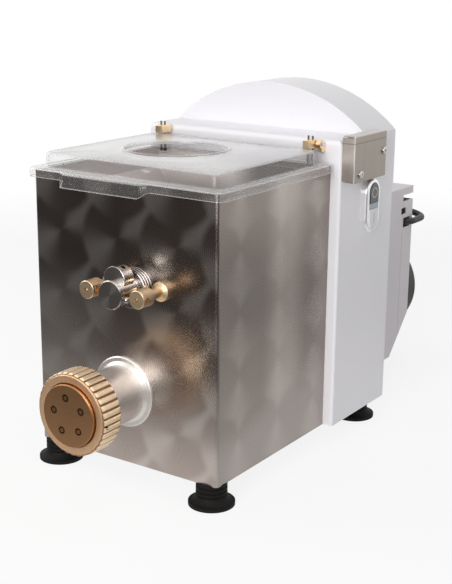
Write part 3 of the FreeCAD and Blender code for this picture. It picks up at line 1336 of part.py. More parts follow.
def cable_path():
    """Out of the terminal box, slanting through the side, round a half turn and in at the back."""
    z = CABLE_Z
    r = CABLE_BEND_R
    y1 = TERMINAL_Y[1]
    half = math.radians(45)
    shift = r * (1 - math.cos(half))
    run = r * math.sin(half)
    slant = CABLE_OUT_X - CABLE_START_X - 2 * shift
    a = V(CABLE_START_X, y1 - 5.5, z)
    lead = y1 + 5
    b = V(CABLE_START_X, lead, z)
    c = V(CABLE_START_X + shift, lead + run, z)
    d = V(c.x + slant, c.y + slant, z)
    e = V(CABLE_OUT_X, d.y + run, z)
    f = V(CABLE_OUT_X, CABLE_TURN_Y, z)
    back_x, back_z = cable_return()
    g = V(back_x, CABLE_TURN_Y, back_z)
    h = V(back_x, HOUSING_BACK - 9, back_z)
    quarter = math.radians(22.5)
    b_mid = V(b.x + r * (1 - math.cos(quarter)), b.y + r * math.sin(quarter), z)
    e_mid = V(e.x - r * (1 - math.cos(quarter)), e.y - r * math.sin(quarter), z)
    top = V((CABLE_OUT_X + back_x) / 2, CABLE_TURN_Y + CABLE_LOOP_R, (z + back_z) / 2)
    edges = [Part.makeLine(a, b), Part.Arc(b, b_mid, c).toShape(), Part.makeLine(c, d)]
    edges += [Part.Arc(d, e_mid, e).toShape(), Part.makeLine(e, f), Part.Arc(f, top, g).toShape()]
    edges.append(Part.makeLine(g, h))
    return Part.Wire(edges), a


def cable_tube(radius):
    path, start = cable_path()
    section = Part.Wire(Part.makeCircle(radius, start, V(0, 1, 0)))
    return path.makePipeShell([section], True, False)


def power_cable():
    return cable_tube(CABLE_R)


def cable_exit_hole(grow):
    """A slot through the right flange where the cable slants out."""
    y, half_long, half_tall = cable_exit()
    return box(HOUSING_HALF - 5, HOUSING_HALF + 5, y - half_long - grow, y + half_long + grow,
               CABLE_Z - half_tall - grow, CABLE_Z + half_tall + grow)


def cable_exit():
    """Where the slanting cable crosses the side sheet: y, half length and half height of the slot."""
    half = math.radians(45)
    shift = CABLE_BEND_R * (1 - math.cos(half))
    run = CABLE_BEND_R * math.sin(half)
    cross = HOUSING_HALF - HOUSING_SHEET / 2
    y = TERMINAL_Y[1] + 5 + run + (cross - CABLE_START_X - shift)
    return y, CABLE_R * 1.42 + GROMMET_LIP + 0.4, CABLE_R + GROMMET_LIP


def side_grommet():
    """A rubber frame in the side slot that the cable fills."""
    y, half_long, half_tall = cable_exit()
    x1 = HOUSING_HALF
    body = box(x1 - HOUSING_SHEET, x1, y - half_long, y + half_long, CABLE_Z - half_tall, CABLE_Z + half_tall)
    lip = box(x1, x1 + 0.7, y - half_long - 1, y + half_long + 1, CABLE_Z - half_tall - 1,
              CABLE_Z + half_tall + 1)
    return body.fuse(lip).removeSplitter().cut(power_cable())


def cable_grommets():
    return group([side_grommet(), rear_grommet()])


def rear_grommet():
    back = HOUSING_BACK - HOUSING_SHEET
    outline = [(back - 8, CABLE_R), (back - 8, GLAND_R - 2), (back - 1.5, GLAND_R - 2), (back - 1.5, GLAND_R)]
    outline += [(back, GLAND_R), (back, GLAND_R - 2), (HOUSING_BACK, GLAND_R - 2), (HOUSING_BACK, GLAND_R)]
    outline += [(HOUSING_BACK + GLAND_LONG - 2, GLAND_R), (HOUSING_BACK + GLAND_LONG, CABLE_R + 2)]
    outline.append((HOUSING_BACK + GLAND_LONG, CABLE_R))
    return turned_y(*cable_return(), outline)


NODES = {
    "tub_shell": tub_shell,
    "mixing_trough": mixing_trough,
    "shaft_seals": shaft_seals,
    "base_plate": base_plate,
    "feet": feet,
    "foot_bolts": foot_bolts,
    "casing_body": casing_body,
    "casing_rear_panel": rear_panel,
    "gearbox_housing": gearbox_housing,
    "bearing_web": bearing_web,
    "gearbox_cover": gearbox_cover,
    "gearbox_bolts": gearbox_bolts,
    "shaft_bearings": shaft_bearings,
    "auger_gear": auger_gear,
    "kneader_gear": kneader_gear,
    "layshaft_gear": layshaft_gear,
    "layshaft": layshaft,
    "motor_pinion": motor_pinion,
    "extruder_barrel": extruder_barrel,
    "ring_nut": ring_nut,
    "die_plate": die_plate,
    "die_inserts": die_inserts,
    "auger_screw": auger_screw,
    "auger_drive_shaft": auger_drive_shaft,
    "kneader_arms": kneader_arms,
    "kneader_drive_shaft": kneader_drive_shaft,
    "pivot_collar": pivot_collar,
    "pivot_pin": pivot_pin,
    "pivot_screw": pivot_screw,
    "cutter_posts": cutter_posts,
    "lid": lid,
    "hinge_blocks": hinge_blocks,
    "hinge_screws": hinge_screws,
    "hinge_pins": hinge_pins,
    "hinge_brackets": hinge_brackets,
    "interlock_switch": interlock_switch,
    "switch_cover": switch_cover,
    "switch_cover_screws": cover_screws,
    "button_bezel": button_bezel,
    "stop_button": lambda: button(1),
    "start_button": lambda: button(-1),
    "pilot_lens": pilot_lens,
    "contact_block": contact_block,
    "motor_frame": motor_frame,
    "motor_shields": motor_shields,
    "motor_bolts": motor_bolts,
    "stator_core": stator_core,
    "rotor_core": rotor_core,
    "motor_shaft": motor_shaft,
    "fan": fan,
    "fan_cowl": fan_cowl,
    "motor_housing": motor_housing,
    "motor_housing_rear": motor_housing_rear,
    "terminal_box": terminal_box,
    "capacitor": capacitor,
    "power_cable": power_cable,
    "cable_grommets": cable_grommets,
}

os.makedirs("parts", exist_ok=True)
for name, make in NODES.items():
    save(name, make())
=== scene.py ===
# %% [markdown]
# # A table-top pasta maker, finished in Blender
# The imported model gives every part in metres, in one shared frame. This file keeps those parts
# where they are, gives each a finish of its own, and replaces a few whose real surface is softer
# or finer than a plain machined solid: the moulded lid, the fluted nut, the hinge heads and the
# cable. A few small marks, such as those on the buttons, are added on top.

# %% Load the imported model
import math

import bmesh
import bpy
from mathutils import Matrix, Vector


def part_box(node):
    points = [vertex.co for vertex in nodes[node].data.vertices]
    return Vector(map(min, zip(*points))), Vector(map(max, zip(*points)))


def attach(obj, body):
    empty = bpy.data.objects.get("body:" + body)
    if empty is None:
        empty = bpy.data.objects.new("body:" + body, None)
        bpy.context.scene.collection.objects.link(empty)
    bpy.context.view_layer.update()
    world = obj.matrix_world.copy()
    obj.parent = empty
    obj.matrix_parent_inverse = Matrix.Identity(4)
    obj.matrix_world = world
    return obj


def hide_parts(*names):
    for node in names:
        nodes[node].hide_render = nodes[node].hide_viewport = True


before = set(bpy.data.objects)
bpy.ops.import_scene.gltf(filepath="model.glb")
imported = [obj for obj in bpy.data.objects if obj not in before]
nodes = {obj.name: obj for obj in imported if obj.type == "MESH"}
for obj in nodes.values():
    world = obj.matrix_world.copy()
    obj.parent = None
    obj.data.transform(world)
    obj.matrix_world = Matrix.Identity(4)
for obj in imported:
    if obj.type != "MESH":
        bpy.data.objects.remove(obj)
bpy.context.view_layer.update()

# %% [markdown]
# ## Where things are
# The drawing of the part counts millimetres from the tub's front face, its middle and its lower
# edge, because those are easy to see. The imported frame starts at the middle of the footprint. One
# small function turns the first kind of number into the second, so that every size below can be
# read off the drawing.

# %% From drawing millimetres to frame metres
MM = 0.001
FOOT_HEIGHT = 23.4
ORIGIN = Vector((-8.1, -222.0, FOOT_HEIGHT))


def at(x, y, z):
    """A drawing point in frame metres."""
    return (Vector((x, y, z)) + ORIGIN) * MM


tub_low, tub_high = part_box("tub_shell")
print("tub front at", round(tub_low.y, 5), "expected", round(at(0, 0, 0).y, 5))

# %% [markdown]
# ## The camera
# A camera is a place, a direction and a lens. All three were worked out from the corners of the
# tub and the casing, whose sizes the drawing gives: the lens is a long one, so the sides of the
# machine converge only a little. A half-degree roll is kept, since real tripods are rarely level.

# %% Make the camera
LENS_MM = 72.384
SENSOR_MM = 36.0
AZIMUTH = math.radians(34.2946)
ELEVATION = math.radians(15.583)
ROLL = math.radians(0.5028)
TARGET = at(28.74, 133.8, 150.4)
DISTANCE = 1.2272

back = Vector((math.sin(AZIMUTH) * math.cos(ELEVATION), -math.cos(AZIMUTH) * math.cos(ELEVATION),
               math.sin(ELEVATION)))
level_right = Vector((math.cos(AZIMUTH), math.sin(AZIMUTH), 0))
level_up = back.cross(level_right)
right = level_right * math.cos(ROLL) + level_up * math.sin(ROLL)
up = level_up * math.cos(ROLL) - level_right * math.sin(ROLL)
lens = bpy.data.cameras.new("photo_camera")
lens.sensor_width = SENSOR_MM
lens.lens = LENS_MM
camera = bpy.data.objects.new("photo_camera", lens)
bpy.context.scene.collection.objects.link(camera)
turn = Matrix((right, up, back)).transposed().to_4x4()
camera.matrix_world = Matrix.Translation(TARGET + back * DISTANCE) @ turn
bpy.context.scene.camera = camera
print("camera at", [round(v, 4) for v in camera.matrix_world.translation])

# %% [markdown]
# ## Wiring materials in plain Python
# A procedural material is a little sum: take the place of a point, work out a pattern from it,
# and use the pattern for colour or roughness. Written as a net of nodes it is hard to read, so a
# small class lets ordinary arithmetic add the nodes. Colours go through mixing nodes instead,
# because arithmetic nodes would turn them grey.


# %% A value on the wiring
class Wire:
    """The output of a node; arithmetic on it adds Math nodes."""

    def __init__(self, bench, socket):
        self.bench = bench
        self.socket = socket

    def out(self, name):
        """Another output of the same node."""
        return Wire(self.bench, self.socket.node.outputs[name])

    def math(self, operation, *values):
        sockets = dict(enumerate(values))
        return self.bench.node("ShaderNodeMath", {"operation": operation}, sockets)

    def __add__(self, other):
        return self.math("ADD", self, other)

    def __radd__(self, other):
        return self.math("ADD", other, self)

    def __sub__(self, other):
        return self.math("SUBTRACT", self, other)

    def __rsub__(self, other):
        return self.math("SUBTRACT", other, self)

    def __mul__(self, other):
        return self.math("MULTIPLY", self, other)

    def __rmul__(self, other):
        return self.math("MULTIPLY", other, self)

    def __truediv__(self, other):
        return self.math("DIVIDE", self, other)

    def __pow__(self, other):
        return self.math("POWER", self, other)

    def __abs__(self):
        return self.math("ABSOLUTE", self)

    def either(self, other):
        """The larger of the two."""
        return self.math("MAXIMUM", self, other)

    def angle(self, across):
        """The angle, all the way round, of a point that lies this far up and that far across."""
        return self.math("ARCTAN2", self, across)

    def cos(self):
        return self.math("COSINE", self)

    def sin(self):
        return self.math("SINE", self)

    def floor(self):
        return self.math("FLOOR", self)

    def smooth(self, low, high):
        """0 below low, 1 above high, and a soft step between."""
        settings = {"interpolation_type": "SMOOTHSTEP"}
        sockets = {"Value": self, "From Min": low, "From Max": high}
        return self.bench.node("ShaderNodeMapRange", settings, sockets)


def reach(across, up):
    """How far a point lies from an axis, from its two offsets."""
    return (across * across + up * up) ** 0.5


# %% [markdown]
# The bench holds one material while it is wired. Every node is made by one method, which takes
# the node's kind, its settings and the values of its sockets. The rest are short names for the
# nodes that come up again and again.


# %% The bench
class Bench:
    """One material being wired."""

    def __init__(self, name):
        self.material = bpy.data.materials.new(name)
        self.material.use_nodes = True
        self.tree = self.material.node_tree
        self.tree.nodes.clear()

    def node(self, kind, settings=None, sockets=None, output=0):
        made = self.tree.nodes.new(kind)
        for key, value in (settings or {}).items():
            setattr(made, key, value)
        for key, value in (sockets or {}).items():
            if isinstance(value, Wire):
                self.tree.links.new(value.socket, made.inputs[key])
            else:
                made.inputs[key].default_value = value
        return Wire(self, made.outputs[output]) if made.outputs else made

    def place(self):
        """The point on the object, in frame metres."""
        return self.node("ShaderNodeTexCoord", output="Object")

    def split(self, vector):
        parts = self.node("ShaderNodeSeparateXYZ", {}, {0: vector})
        return parts, parts.out("Y"), parts.out("Z")

    def join(self, x, y, z):
        return self.node("ShaderNodeCombineXYZ", {}, {0: x, 1: y, 2: z})

    def noise(self, where, scale, detail=3.0):
        return self.node("ShaderNodeTexNoise", {}, {"Vector": where, "Scale": scale, "Detail": detail})

    def streaks(self, where, grain):
        """Noise that runs into streaks along the axis whose grain number is smallest."""
        scaled = self.node("ShaderNodeVectorMath", {"operation": "MULTIPLY"}, {0: where, 1: grain})
        return self.noise(scaled, 1.0, 2.0)

    def mix(self, low, high, share):
        """Colour low where share is 0, colour high where it is 1."""
        settings = {"data_type": "RGBA", "clamp_factor": True}
        low = (*low, 1.0) if isinstance(low, tuple) else low
        high = (*high, 1.0) if isinstance(high, tuple) else high
        return self.node("ShaderNodeMix", settings, {0: share, 6: low, 7: high}, 2)

    def bump(self, height, depth, strength=1.0):
        """Relief of the given depth in metres."""
        sockets = {"Height": height, "Distance": depth, "Strength": strength}
        return self.node("ShaderNodeBump", {}, sockets)

    def facing(self):
        """The way the surface faces, as three wires."""
        return self.split(self.node("ShaderNodeNewGeometry", output="Normal"))

    def finish(self, **sockets):
        """Close the wiring with the shader; spaces in socket names are written as underscores."""
        named = {key.replace("_", " "): value for key, value in sockets.items()}
        for key, value in named.items():
            if isinstance(value, tuple) and len(value) == 3:
                named[key] = (*value, 1.0)
        shader = self.node("ShaderNodeBsdfPrincipled", {}, named)
        return self.close(shader)

    def close(self, shader):
        self.node("ShaderNodeOutputMaterial", {}, {"Surface": shader})
        return self.material


def shades(colour, swing):
    """The colour made a share darker and a share paler."""
    dark = tuple(c * (1 - swing) for c in colour)
    pale = tuple(min(1.0, c * (1 + swing)) for c in colour)
    return dark, pale


finishes = {}
print("bench ready, with", len(finishes), "finishes so far")

# %% [markdown]
# ## The studio
# The machine stands on a plain pale floor in soft light. A wide lamp in front lights the tub and
# the white casing, a weaker one on the left fills the shade, a faint one on the right keeps the
# far side readable, and one overhead draws the bright lines along the edges of the lid.

# %% Lamps
CENTRE = at(10, 190, 150)


def lamp(name, place, size, watts, colour=(1, 1, 1)):
    """A square lamp at a place, aimed at the machine."""
    light = bpy.data.lights.new(name, "AREA")
    light.shape = "SQUARE"
    light.size = size
    light.energy = watts
    light.color = colour
    made = bpy.data.objects.new(name, light)
    bpy.context.scene.collection.objects.link(made)
    made.location = place
    made.rotation_euler = (CENTRE - Vector(place)).to_track_quat("-Z", "Y").to_euler()


lamp("front_lamp", (0.38, -1.95, 0.78), size=1.1, watts=25.2)
lamp("left_lamp", (-1.7, -0.5, 1.2), size=1.2, watts=7.0)
lamp("right_lamp", (1.9, -0.1, 0.9), size=1.0, watts=0.8, colour=(1.0, 0.92, 1.0))
lamp("top_lamp", (0.1, -0.1, 1.9), size=1.2, watts=3.4)
print("lamps", len(bpy.data.lights))

# %% [markdown]
# The world is white to the camera, and to metal and glass, but gives only part of that light to
# matt surfaces. White on every side would make polished steel look like paper. Real studios are
# dark in front of the set, so rays that leave a shiny surface towards the front find a dim room
# there, and the white only overhead and on the far side.

# %% The world
world = bpy.data.worlds.new("studio_world")
bpy.context.scene.world = world
world.use_nodes = True
WORLD_LIGHT = 0.37
ROOM_SHADE = 0.12
ROOM_FRONT = (-0.25, 0.55)
ROOM_TOP = (0.20, 0.60)
WHITE = (1, 1, 1, 1)


class WorldBench(Bench):
    """The same wiring, for the world's own tree."""

    def __init__(self, owner):
        self.tree = owner.node_tree
        self.tree.nodes.clear()


def ray_kinds(bench):
    """1 for rays that should see the white set, and 1 for those that left a shiny surface."""
    camera_ray = bench.node("ShaderNodeLightPath", output="Is Camera Ray")
    mirror_ray = camera_ray.out("Is Glossy Ray")
    bent_ray = camera_ray.out("Is Transmission Ray")
    return camera_ray.either(mirror_ray.either(bent_ray)), mirror_ray


sky = WorldBench(world)
seen, mirrored = ray_kinds(sky)
across, away, above = sky.split(sky.node("ShaderNodeTexCoord", output="Generated"))
room = (away * -1.0).smooth(*ROOM_FRONT) * (1.0 - above.smooth(*ROOM_TOP)) * mirrored
brightness = 1.0 - room * (1.0 - ROOM_SHADE)
backdrop = sky.node("ShaderNodeBackground", {}, {"Color": WHITE, "Strength": brightness})
daylight = sky.node("ShaderNodeBackground", {}, {"Color": WHITE, "Strength": WORLD_LIGHT})
both = sky.node("ShaderNodeMixShader", {}, {0: seen, 1: daylight, 2: backdrop})
sky.node("ShaderNodeOutputWorld", {}, {"Surface": both})
bpy.context.scene.view_settings.view_transform = "Standard"
print("world light", WORLD_LIGHT)

# %% [markdown]
# ## The floor
# The floor is a sheet of white paper that fades into the world further out. To the camera it is
# mostly plain white and a little lit paper, so it stays white and still holds a soft shadow.
# In a shiny surface it is white close to the machine and falls off into the dim room, which, with
# the painted reflection in the steel's own colour, draws the steel's change from pale at the foot to
# dark at the top.

# %% The floor
FLOOR_RADIUS = 1.6
FLOOR_FADE = 0.9
FLOOR_GLOW = 0.84
FLOOR_FALL = (0.22, 0.66)
FAR_SIDE = (-0.25, 0.45)
FAR_SIDE_LEAN = 0.4
FAR_SHADE = 0.42
NEAR_SHADE = 0.74
PAPER = (0.93, 0.93, 0.93, 1)
mesh = bpy.data.meshes.new("studio_floor")
shape = bmesh.new()
bmesh.ops.create_circle(shape, cap_ends=True, radius=FLOOR_RADIUS, segments=96)
shape.to_mesh(mesh)
shape.free()
floor = bpy.data.objects.new("studio_floor", mesh)
bpy.context.scene.collection.objects.link(floor)
bench = Bench("pale_floor")
x, y, z = bench.split(bench.place())
out = reach(x, y)
seen, mirrored = ray_kinds(bench)
far_side = (y + x * FAR_SIDE_LEAN).smooth(*FAR_SIDE)
distant = far_side * (FAR_SHADE - ROOM_SHADE) + ROOM_SHADE
near = 1.0 - mirrored * (1.0 - NEAR_SHADE)
falling = near - out.smooth(*FLOOR_FALL) * (NEAR_SHADE - distant) * mirrored
paper = bench.node("ShaderNodeBsdfDiffuse", {}, {"Color": PAPER})
glow = bench.node("ShaderNodeEmission", {}, {"Color": WHITE, "Strength": falling})
glow_share = seen * FLOOR_GLOW + mirrored * (1.0 - FLOOR_GLOW)
lit = bench.node("ShaderNodeMixShader", {}, {0: glow_share, 1: paper, 2: glow})
clear = bench.node("ShaderNodeBsdfTransparent")
fade = out.smooth(FLOOR_FADE, FLOOR_RADIUS)
mesh.materials.append(bench.close(bench.node("ShaderNodeMixShader", {}, {0: fade, 1: lit, 2: clear})))
print("floor radius", FLOOR_RADIUS)

# %% [markdown]
# ## Swirled stainless steel
# The tub's sheet was dressed with a spinning brush, pressed down in rows: each print is a disc of
# fine round scratches that partly covers its neighbours. Round scratches throw light back in two
# opposite fans, so every disc shows a bow tie, which is painted into the colour here as a painted
# highlight. The pattern is worked out from the place on the sheet: find the nearest prints, take
# the distance and the angle from each middle, and let the upper print cover the lower one.

# %% Swirls
PRINT_ACROSS = 0.0705
PRINT_UP = 0.0617
PRINT_RADIUS = 0.0478
PRINT_EDGE = 0.009
PRINT_EYE = (-0.004, 0.016)
FAN_NARROWNESS = 3.2
SCRATCH = 0.0022
SCRATCH_WANDER = 7.0


def brush_prints(bench, across, height, lean, wander):
    """(painted highlight fan, scratches) of the print that lies on top at each point."""
    column = across / PRINT_ACROSS
    row = height / PRINT_UP
    column_part = column - column.floor()
    row_part = row - row.floor()
    fan = None
    for up_step, side_step in ((0, 0), (0, 1), (1, 0), (1, 1)):
        dx = (column_part - side_step) * PRINT_ACROSS
        dz = (row_part - up_step) * PRINT_UP
        radius = reach(dx, dz)
        # The fan is a painted highlight: the bow tie that round scratches throw back from the light.
        bright = (((dz.angle(dx) - lean) * 2.0).cos() * 0.5 + 0.5) ** FAN_NARROWNESS
        bright = bright * radius.smooth(*PRINT_EYE)
        lines = (radius * (2 * math.pi / SCRATCH) + wander * SCRATCH_WANDER).sin() * 0.5 + 0.5
        if fan is None:
            fan, scratches = bright, lines
        else:
            cover = (radius * -1.0).smooth(-PRINT_RADIUS, -PRINT_RADIUS + PRINT_EDGE)
            fan = fan + (bright - fan) * cover
            scratches = scratches + (lines - scratches) * cover
    return fan, scratches


print("prints across the front", round((tub_high.x - tub_low.x) / PRINT_ACROSS, 1))

# %% [markdown]
# The front and the side carry the same prints, but each leans its fans its own way, and each has
# its own colours: painted reflections of the part of the room that it faces. The front goes from a
# pale painted reflection at its foot to a dark one at its top, with painted light on its left, and
# the side has one pale column of painted light where the sheet catches the light. The numbers in
# pairs are where a change starts and ends, in metres.

# %% Front and side of the tub
FIRST_FRONT = at(-76, 0, 43)
FIRST_SIDE = at(0, 36, 43)
SIDE_STREAK = at(0, 118, 0)
FRONT_LEAN = 0.55
SIDE_LEAN = 1.5
FRONT_RISE = (-0.02, 0.21)
LEFT_SPREAD = (0.0, 0.10)
LEFT_RISE = (0.03, 0.09)
LEFT_FALL = (0.12, 0.21)
SIDE_RISE = (0.050, 0.085)
SIDE_SLOPE = 0.12
COLUMN_SPREAD = (0.006, 0.045)
HAIRLINE = 0.00002
# Painted reflection and light: pale at the front's foot, dark at its top, lighter on its left; the side
# likewise, with one column of painted light.
FRONT_FOOT = (0.50, 0.42, 0.375)
FRONT_TOP = (0.135, 0.102, 0.088)
FRONT_LEFT_LIGHT = (0.52, 0.46, 0.42)
SIDE_FOOT = (0.36, 0.32, 0.295)
SIDE_TOP = (0.265, 0.230, 0.205)
SIDE_COLUMN_LIGHT = (0.46, 0.41, 0.37)
PAINTED_HIGHLIGHT_STEEL = (0.86, 0.79, 0.74)


def swirled_steel():
    bench = Bench("swirled_steel")
    place = bench.place()
    x, y, z = bench.split(place)
    front = (y * -1.0).smooth(-tub_low.y - 0.003, -tub_low.y - 0.001)
    cloud = bench.noise(place, 9.0, 2.0)
    wander = bench.noise(place, 60.0, 2.0)
    across = (x - FIRST_FRONT.x) * front + (y - FIRST_SIDE.y) * (1.0 - front)
    lean = front * (FRONT_LEAN - SIDE_LEAN) + SIDE_LEAN
    fan, scratches = brush_prints(bench, across, z - FIRST_FRONT.z, lean, wander)
    height = z - FOOT_HEIGHT * MM
    # The front's colour is a painted reflection, pale at the foot and dark at the top, with painted light on
    # the left.
    front_colour = bench.mix(FRONT_FOOT, FRONT_TOP, height.smooth(*FRONT_RISE))
    left_share = (x * -1.0).smooth(*LEFT_SPREAD)
    painted_left_light = left_share * (height.smooth(*LEFT_RISE) - height.smooth(*LEFT_FALL))
    front_colour = bench.mix(front_colour, FRONT_LEFT_LIGHT, painted_left_light)
    # The side's colour is a painted reflection too, with a column of painted light.
    band = (height - y * SIDE_SLOPE).smooth(*SIDE_RISE)
    side_colour = bench.mix(SIDE_FOOT, SIDE_TOP, band)
    beside_column = abs(y - SIDE_STREAK.y).smooth(*COLUMN_SPREAD)
    column_painted_light = bench.mix(side_colour, SIDE_COLUMN_LIGHT, band * 0.8)
    side_colour = bench.mix(column_painted_light, side_colour, beside_column)
    sheet = bench.mix(side_colour, front_colour, front)
    # The fans add a painted highlight towards the pale steel; the scratches and clouds only vary its tone.
    glow = fan * (front * 0.50 + 0.30) + scratches * 0.05 + cloud * 0.20
    colour = bench.mix(sheet, bench.mix(sheet, PAINTED_HIGHLIGHT_STEEL, 0.50), glow)
    roughness = scratches * 0.05 + cloud * 0.12 + 0.20
    relief = bench.bump(scratches, HAIRLINE, 0.10)
    return bench.finish(Base_Color=colour, Metallic=1.0, Roughness=roughness, Normal=relief)


finishes["tub_shell"] = swirled_steel()
print("swirled steel nodes", len(finishes["tub_shell"].node_tree.nodes))

# %% [markdown]
# ## Plain metals
# Most of the other metal parts differ only in colour, in how rough they are and in the direction
# of their tool marks. One function makes them: streaks are noise stretched along the way the tool
# ran, clouds are broad soft noise, and both move the colour and the roughness a little. Turned
# parts carry rings about their own axis instead of straight streaks, and can carry a painted
# bow-tie highlight across them.

# %% Metal maker
STREAK_X = (8.0, 700.0, 700.0)
STREAK_Y = (700.0, 8.0, 700.0)
STREAK_Z = (700.0, 700.0, 8.0)
# The lean and the colour of the painted bow-tie highlight on turned faces.
FAN_LEAN = 0.95
PAINTED_FAN_HIGHLIGHT = (0.95, 0.90, 0.86)


def metal(name, colour, roughness, grain, swing, axis=None, pitch=None, depth=HAIRLINE, fan=0.0):
    """A metal with streaks along one axis, or rings about an axis with a painted bow-tie highlight."""
    bench = Bench(name)
    place = bench.place()
    cloud = bench.noise(place, 14.0)
    streak = bench.streaks(place, grain)
    if axis is not None:
        x, y, z = bench.split(place)
        dx, dz = x - axis.x, z - axis.z
        rings = ((reach(dx, dz) + y * 0.35) * (2 * math.pi / pitch) + streak * 2.0).sin() * 0.5 + 0.5
        streak = streak * 0.5 + rings * 0.5
    base = bench.mix(*shades(colour, swing), streak * 0.6 + cloud * 0.4)
    # fan sets how strongly the painted bow-tie highlight shows.
    if fan:
        painted_bow_tie = (((dz.angle(dx) - FAN_LEAN) * 2.0).cos() * 0.5 + 0.5) ** 5.0 * fan
        base = bench.mix(base, PAINTED_FAN_HIGHLIGHT, painted_bow_tie)
    rough = roughness + (streak - 0.5) * 0.10 + (cloud - 0.5) * 0.12
    relief = bench.bump(streak, depth, 0.5)
    return bench.finish(Base_Color=base, Metallic=1.0, Roughness=rough, Normal=relief)


print("streaks per metre across the grain", max(STREAK_X), "and along it", min(STREAK_X))

# %% [markdown]
# Two pieces need more than one tone. The folded switch cover has a painted lit front and a painted
# shaded side, a painted highlight along its outer fold and its top edge, and painted shade in the
# pressed crease near its top. The trough has painted light along the left of its rim, where light
# from the lid's opening falls, and painted shade further down.

# %% Switch cover
# Painted light and shade: a shaded side and a lit front of the same steel, a highlight for the fold and top
# edge, shade for the crease.
COVER_SIDE_PAINTED_SHADE = ((0.27, 0.235, 0.205), (0.40, 0.36, 0.32))
COVER_FRONT_PAINTED_LIGHT = ((0.60, 0.51, 0.46), (0.86, 0.78, 0.72))
PAINTED_EDGE_HIGHLIGHT = (0.93, 0.90, 0.86)
CREASE_SHADE = (0.16, 0.14, 0.12)
CREASE_DROP = 0.0075
CREASE_HALF = (0.0009, 0.0003)
FOLD_BACK = 0.0022
FOLD_IN = 0.0016
FOLD_SOFT_X = (0.0, 0.0014)
FOLD_SOFT_Y = (0.0, 0.0016)
RIM_DROP = 0.0014
RIM_SOFT = (0.0, 0.0010)


def cover_steel():
    bench = Bench("cover_steel")
    place = bench.place()
    x, y, z = bench.split(place)
    low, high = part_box("switch_cover")
    streak = bench.streaks(place, STREAK_Z)
    cloud = bench.noise(place, 22.0, 2.0)
    front = (bench.facing()[1] * -1.0).smooth(0.5, 0.9)
    side = bench.mix(*COVER_SIDE_PAINTED_SHADE, streak * 0.5 + cloud * 0.5)
    pale = bench.mix(*COVER_FRONT_PAINTED_LIGHT, streak * 0.4 + cloud * 0.6)
    # The front is a painted lit copy of the side; the fold and top edge get a painted highlight, the crease
    # painted shade.
    sheet = bench.mix(side, pale, front)
    outer = (x - high.x + FOLD_IN).smooth(*FOLD_SOFT_X)
    fold_highlight = outer * (y * -1.0 + low.y + FOLD_BACK).smooth(*FOLD_SOFT_Y)
    top_edge_highlight = (z - high.z + RIM_DROP).smooth(*RIM_SOFT)
    crease_shade = (abs(z - high.z + CREASE_DROP) * -1.0).smooth(-CREASE_HALF[0], -CREASE_HALF[1])
    edge_highlit = bench.mix(sheet, PAINTED_EDGE_HIGHLIGHT, fold_highlight * 0.8 + top_edge_highlight * 0.4)
    colour = bench.mix(edge_highlit, CREASE_SHADE, crease_shade * 0.55)
    relief = bench.bump(streak, HAIRLINE, 0.4)
    return bench.finish(Base_Color=colour, Metallic=1.0, Roughness=cloud * 0.1 + 0.30, Normal=relief)


finishes["switch_cover"] = cover_steel()
print("cover size", [round(v, 4) for v in nodes["switch_cover"].dimensions])

# %% Trough
# Painted shade deep in the trough, and painted light along the left of its rim, where light falls through
# the lid's opening.
TROUGH_SHADE = ((0.15, 0.12, 0.10), (0.23, 0.19, 0.165))
TROUGH_RIM_LIGHT = ((0.82, 0.75, 0.73), (0.94, 0.87, 0.85))
RIM_RISE = (0.245, 0.292)
RIM_END = (-0.02, 0.02)


def trough_steel():
    bench = Bench("trough_steel")
    place = bench.place()
    x, y, z = bench.split(place)
    streak = bench.streaks(place, STREAK_Y)
    share = streak * 0.4 + bench.noise(place, 14.0) * 0.6
    # Painted light on the left part of the rim only, with painted shade below it.
    lit_rim = z.smooth(*RIM_RISE) * (1.0 - x.smooth(*RIM_END))
    relief = bench.bump(streak, HAIRLINE, 0.4)
    colour = bench.mix(bench.mix(*TROUGH_SHADE, share), bench.mix(*TROUGH_RIM_LIGHT, share), lit_rim)
    shine = 0.55 - lit_rim * 0.45
    return bench.finish(Base_Color=colour, Metallic=shine, Roughness=streak * 0.1 + 0.36, Normal=relief)


finishes["mixing_trough"] = trough_steel()
print("trough size", [round(v, 4) for v in nodes["mixing_trough"].dimensions])

# %% [markdown]
# The ring nut is bronze. Its ribs carry a painted highlight and the grooves between them painted
# shade, so its colour follows the distance from its own axis, given here in metres.

# %% Nut bronze
AUGER_HEIGHT = 74.5
AUGER_AXIS = at(0, 0, AUGER_HEIGHT)
# Body colours, the ribs' painted highlight and the grooves' painted shade.
NUT_BODY = ((0.78, 0.46, 0.26), (1.0, 0.72, 0.46))
NUT_RIB_HIGHLIGHT = ((1.0, 0.80, 0.55), (1.0, 0.88, 0.66))
GROOVE_SHADE = (0.20, 0.10, 0.045)
GROOVE_STARTS = (0.0392, 0.0394)
GROOVE_ENDS = (0.0395, 0.0401)
RIB_STARTS = (0.0400, 0.0406)


def fluted_bronze():
    """Bronze with a painted highlight on the ribs and painted shade in the grooves between them."""
    bench = Bench("nut_bronze")
    place = bench.place()
    x, y, z = bench.split(place)
    radius = reach(x - AUGER_AXIS.x, z - AUGER_AXIS.z)
    streak = bench.streaks(place, STREAK_Y)
    cloud = bench.noise(place, 30.0)
    groove_shade_share = (1.0 - radius.smooth(*GROOVE_ENDS)) * radius.smooth(*GROOVE_STARTS)
    body = bench.mix(*NUT_BODY, streak * 0.5 + cloud * 0.5)
    rib = bench.mix(*NUT_RIB_HIGHLIGHT, streak)
    ring = bench.mix(body, rib, radius.smooth(*RIB_STARTS))
    colour = bench.mix(ring, GROOVE_SHADE, groove_shade_share * 0.9)
    relief = bench.bump(streak, HAIRLINE, 0.5)
    return bench.finish(Base_Color=colour, Metallic=1.0, Roughness=streak * 0.1 + 0.44, Normal=relief)


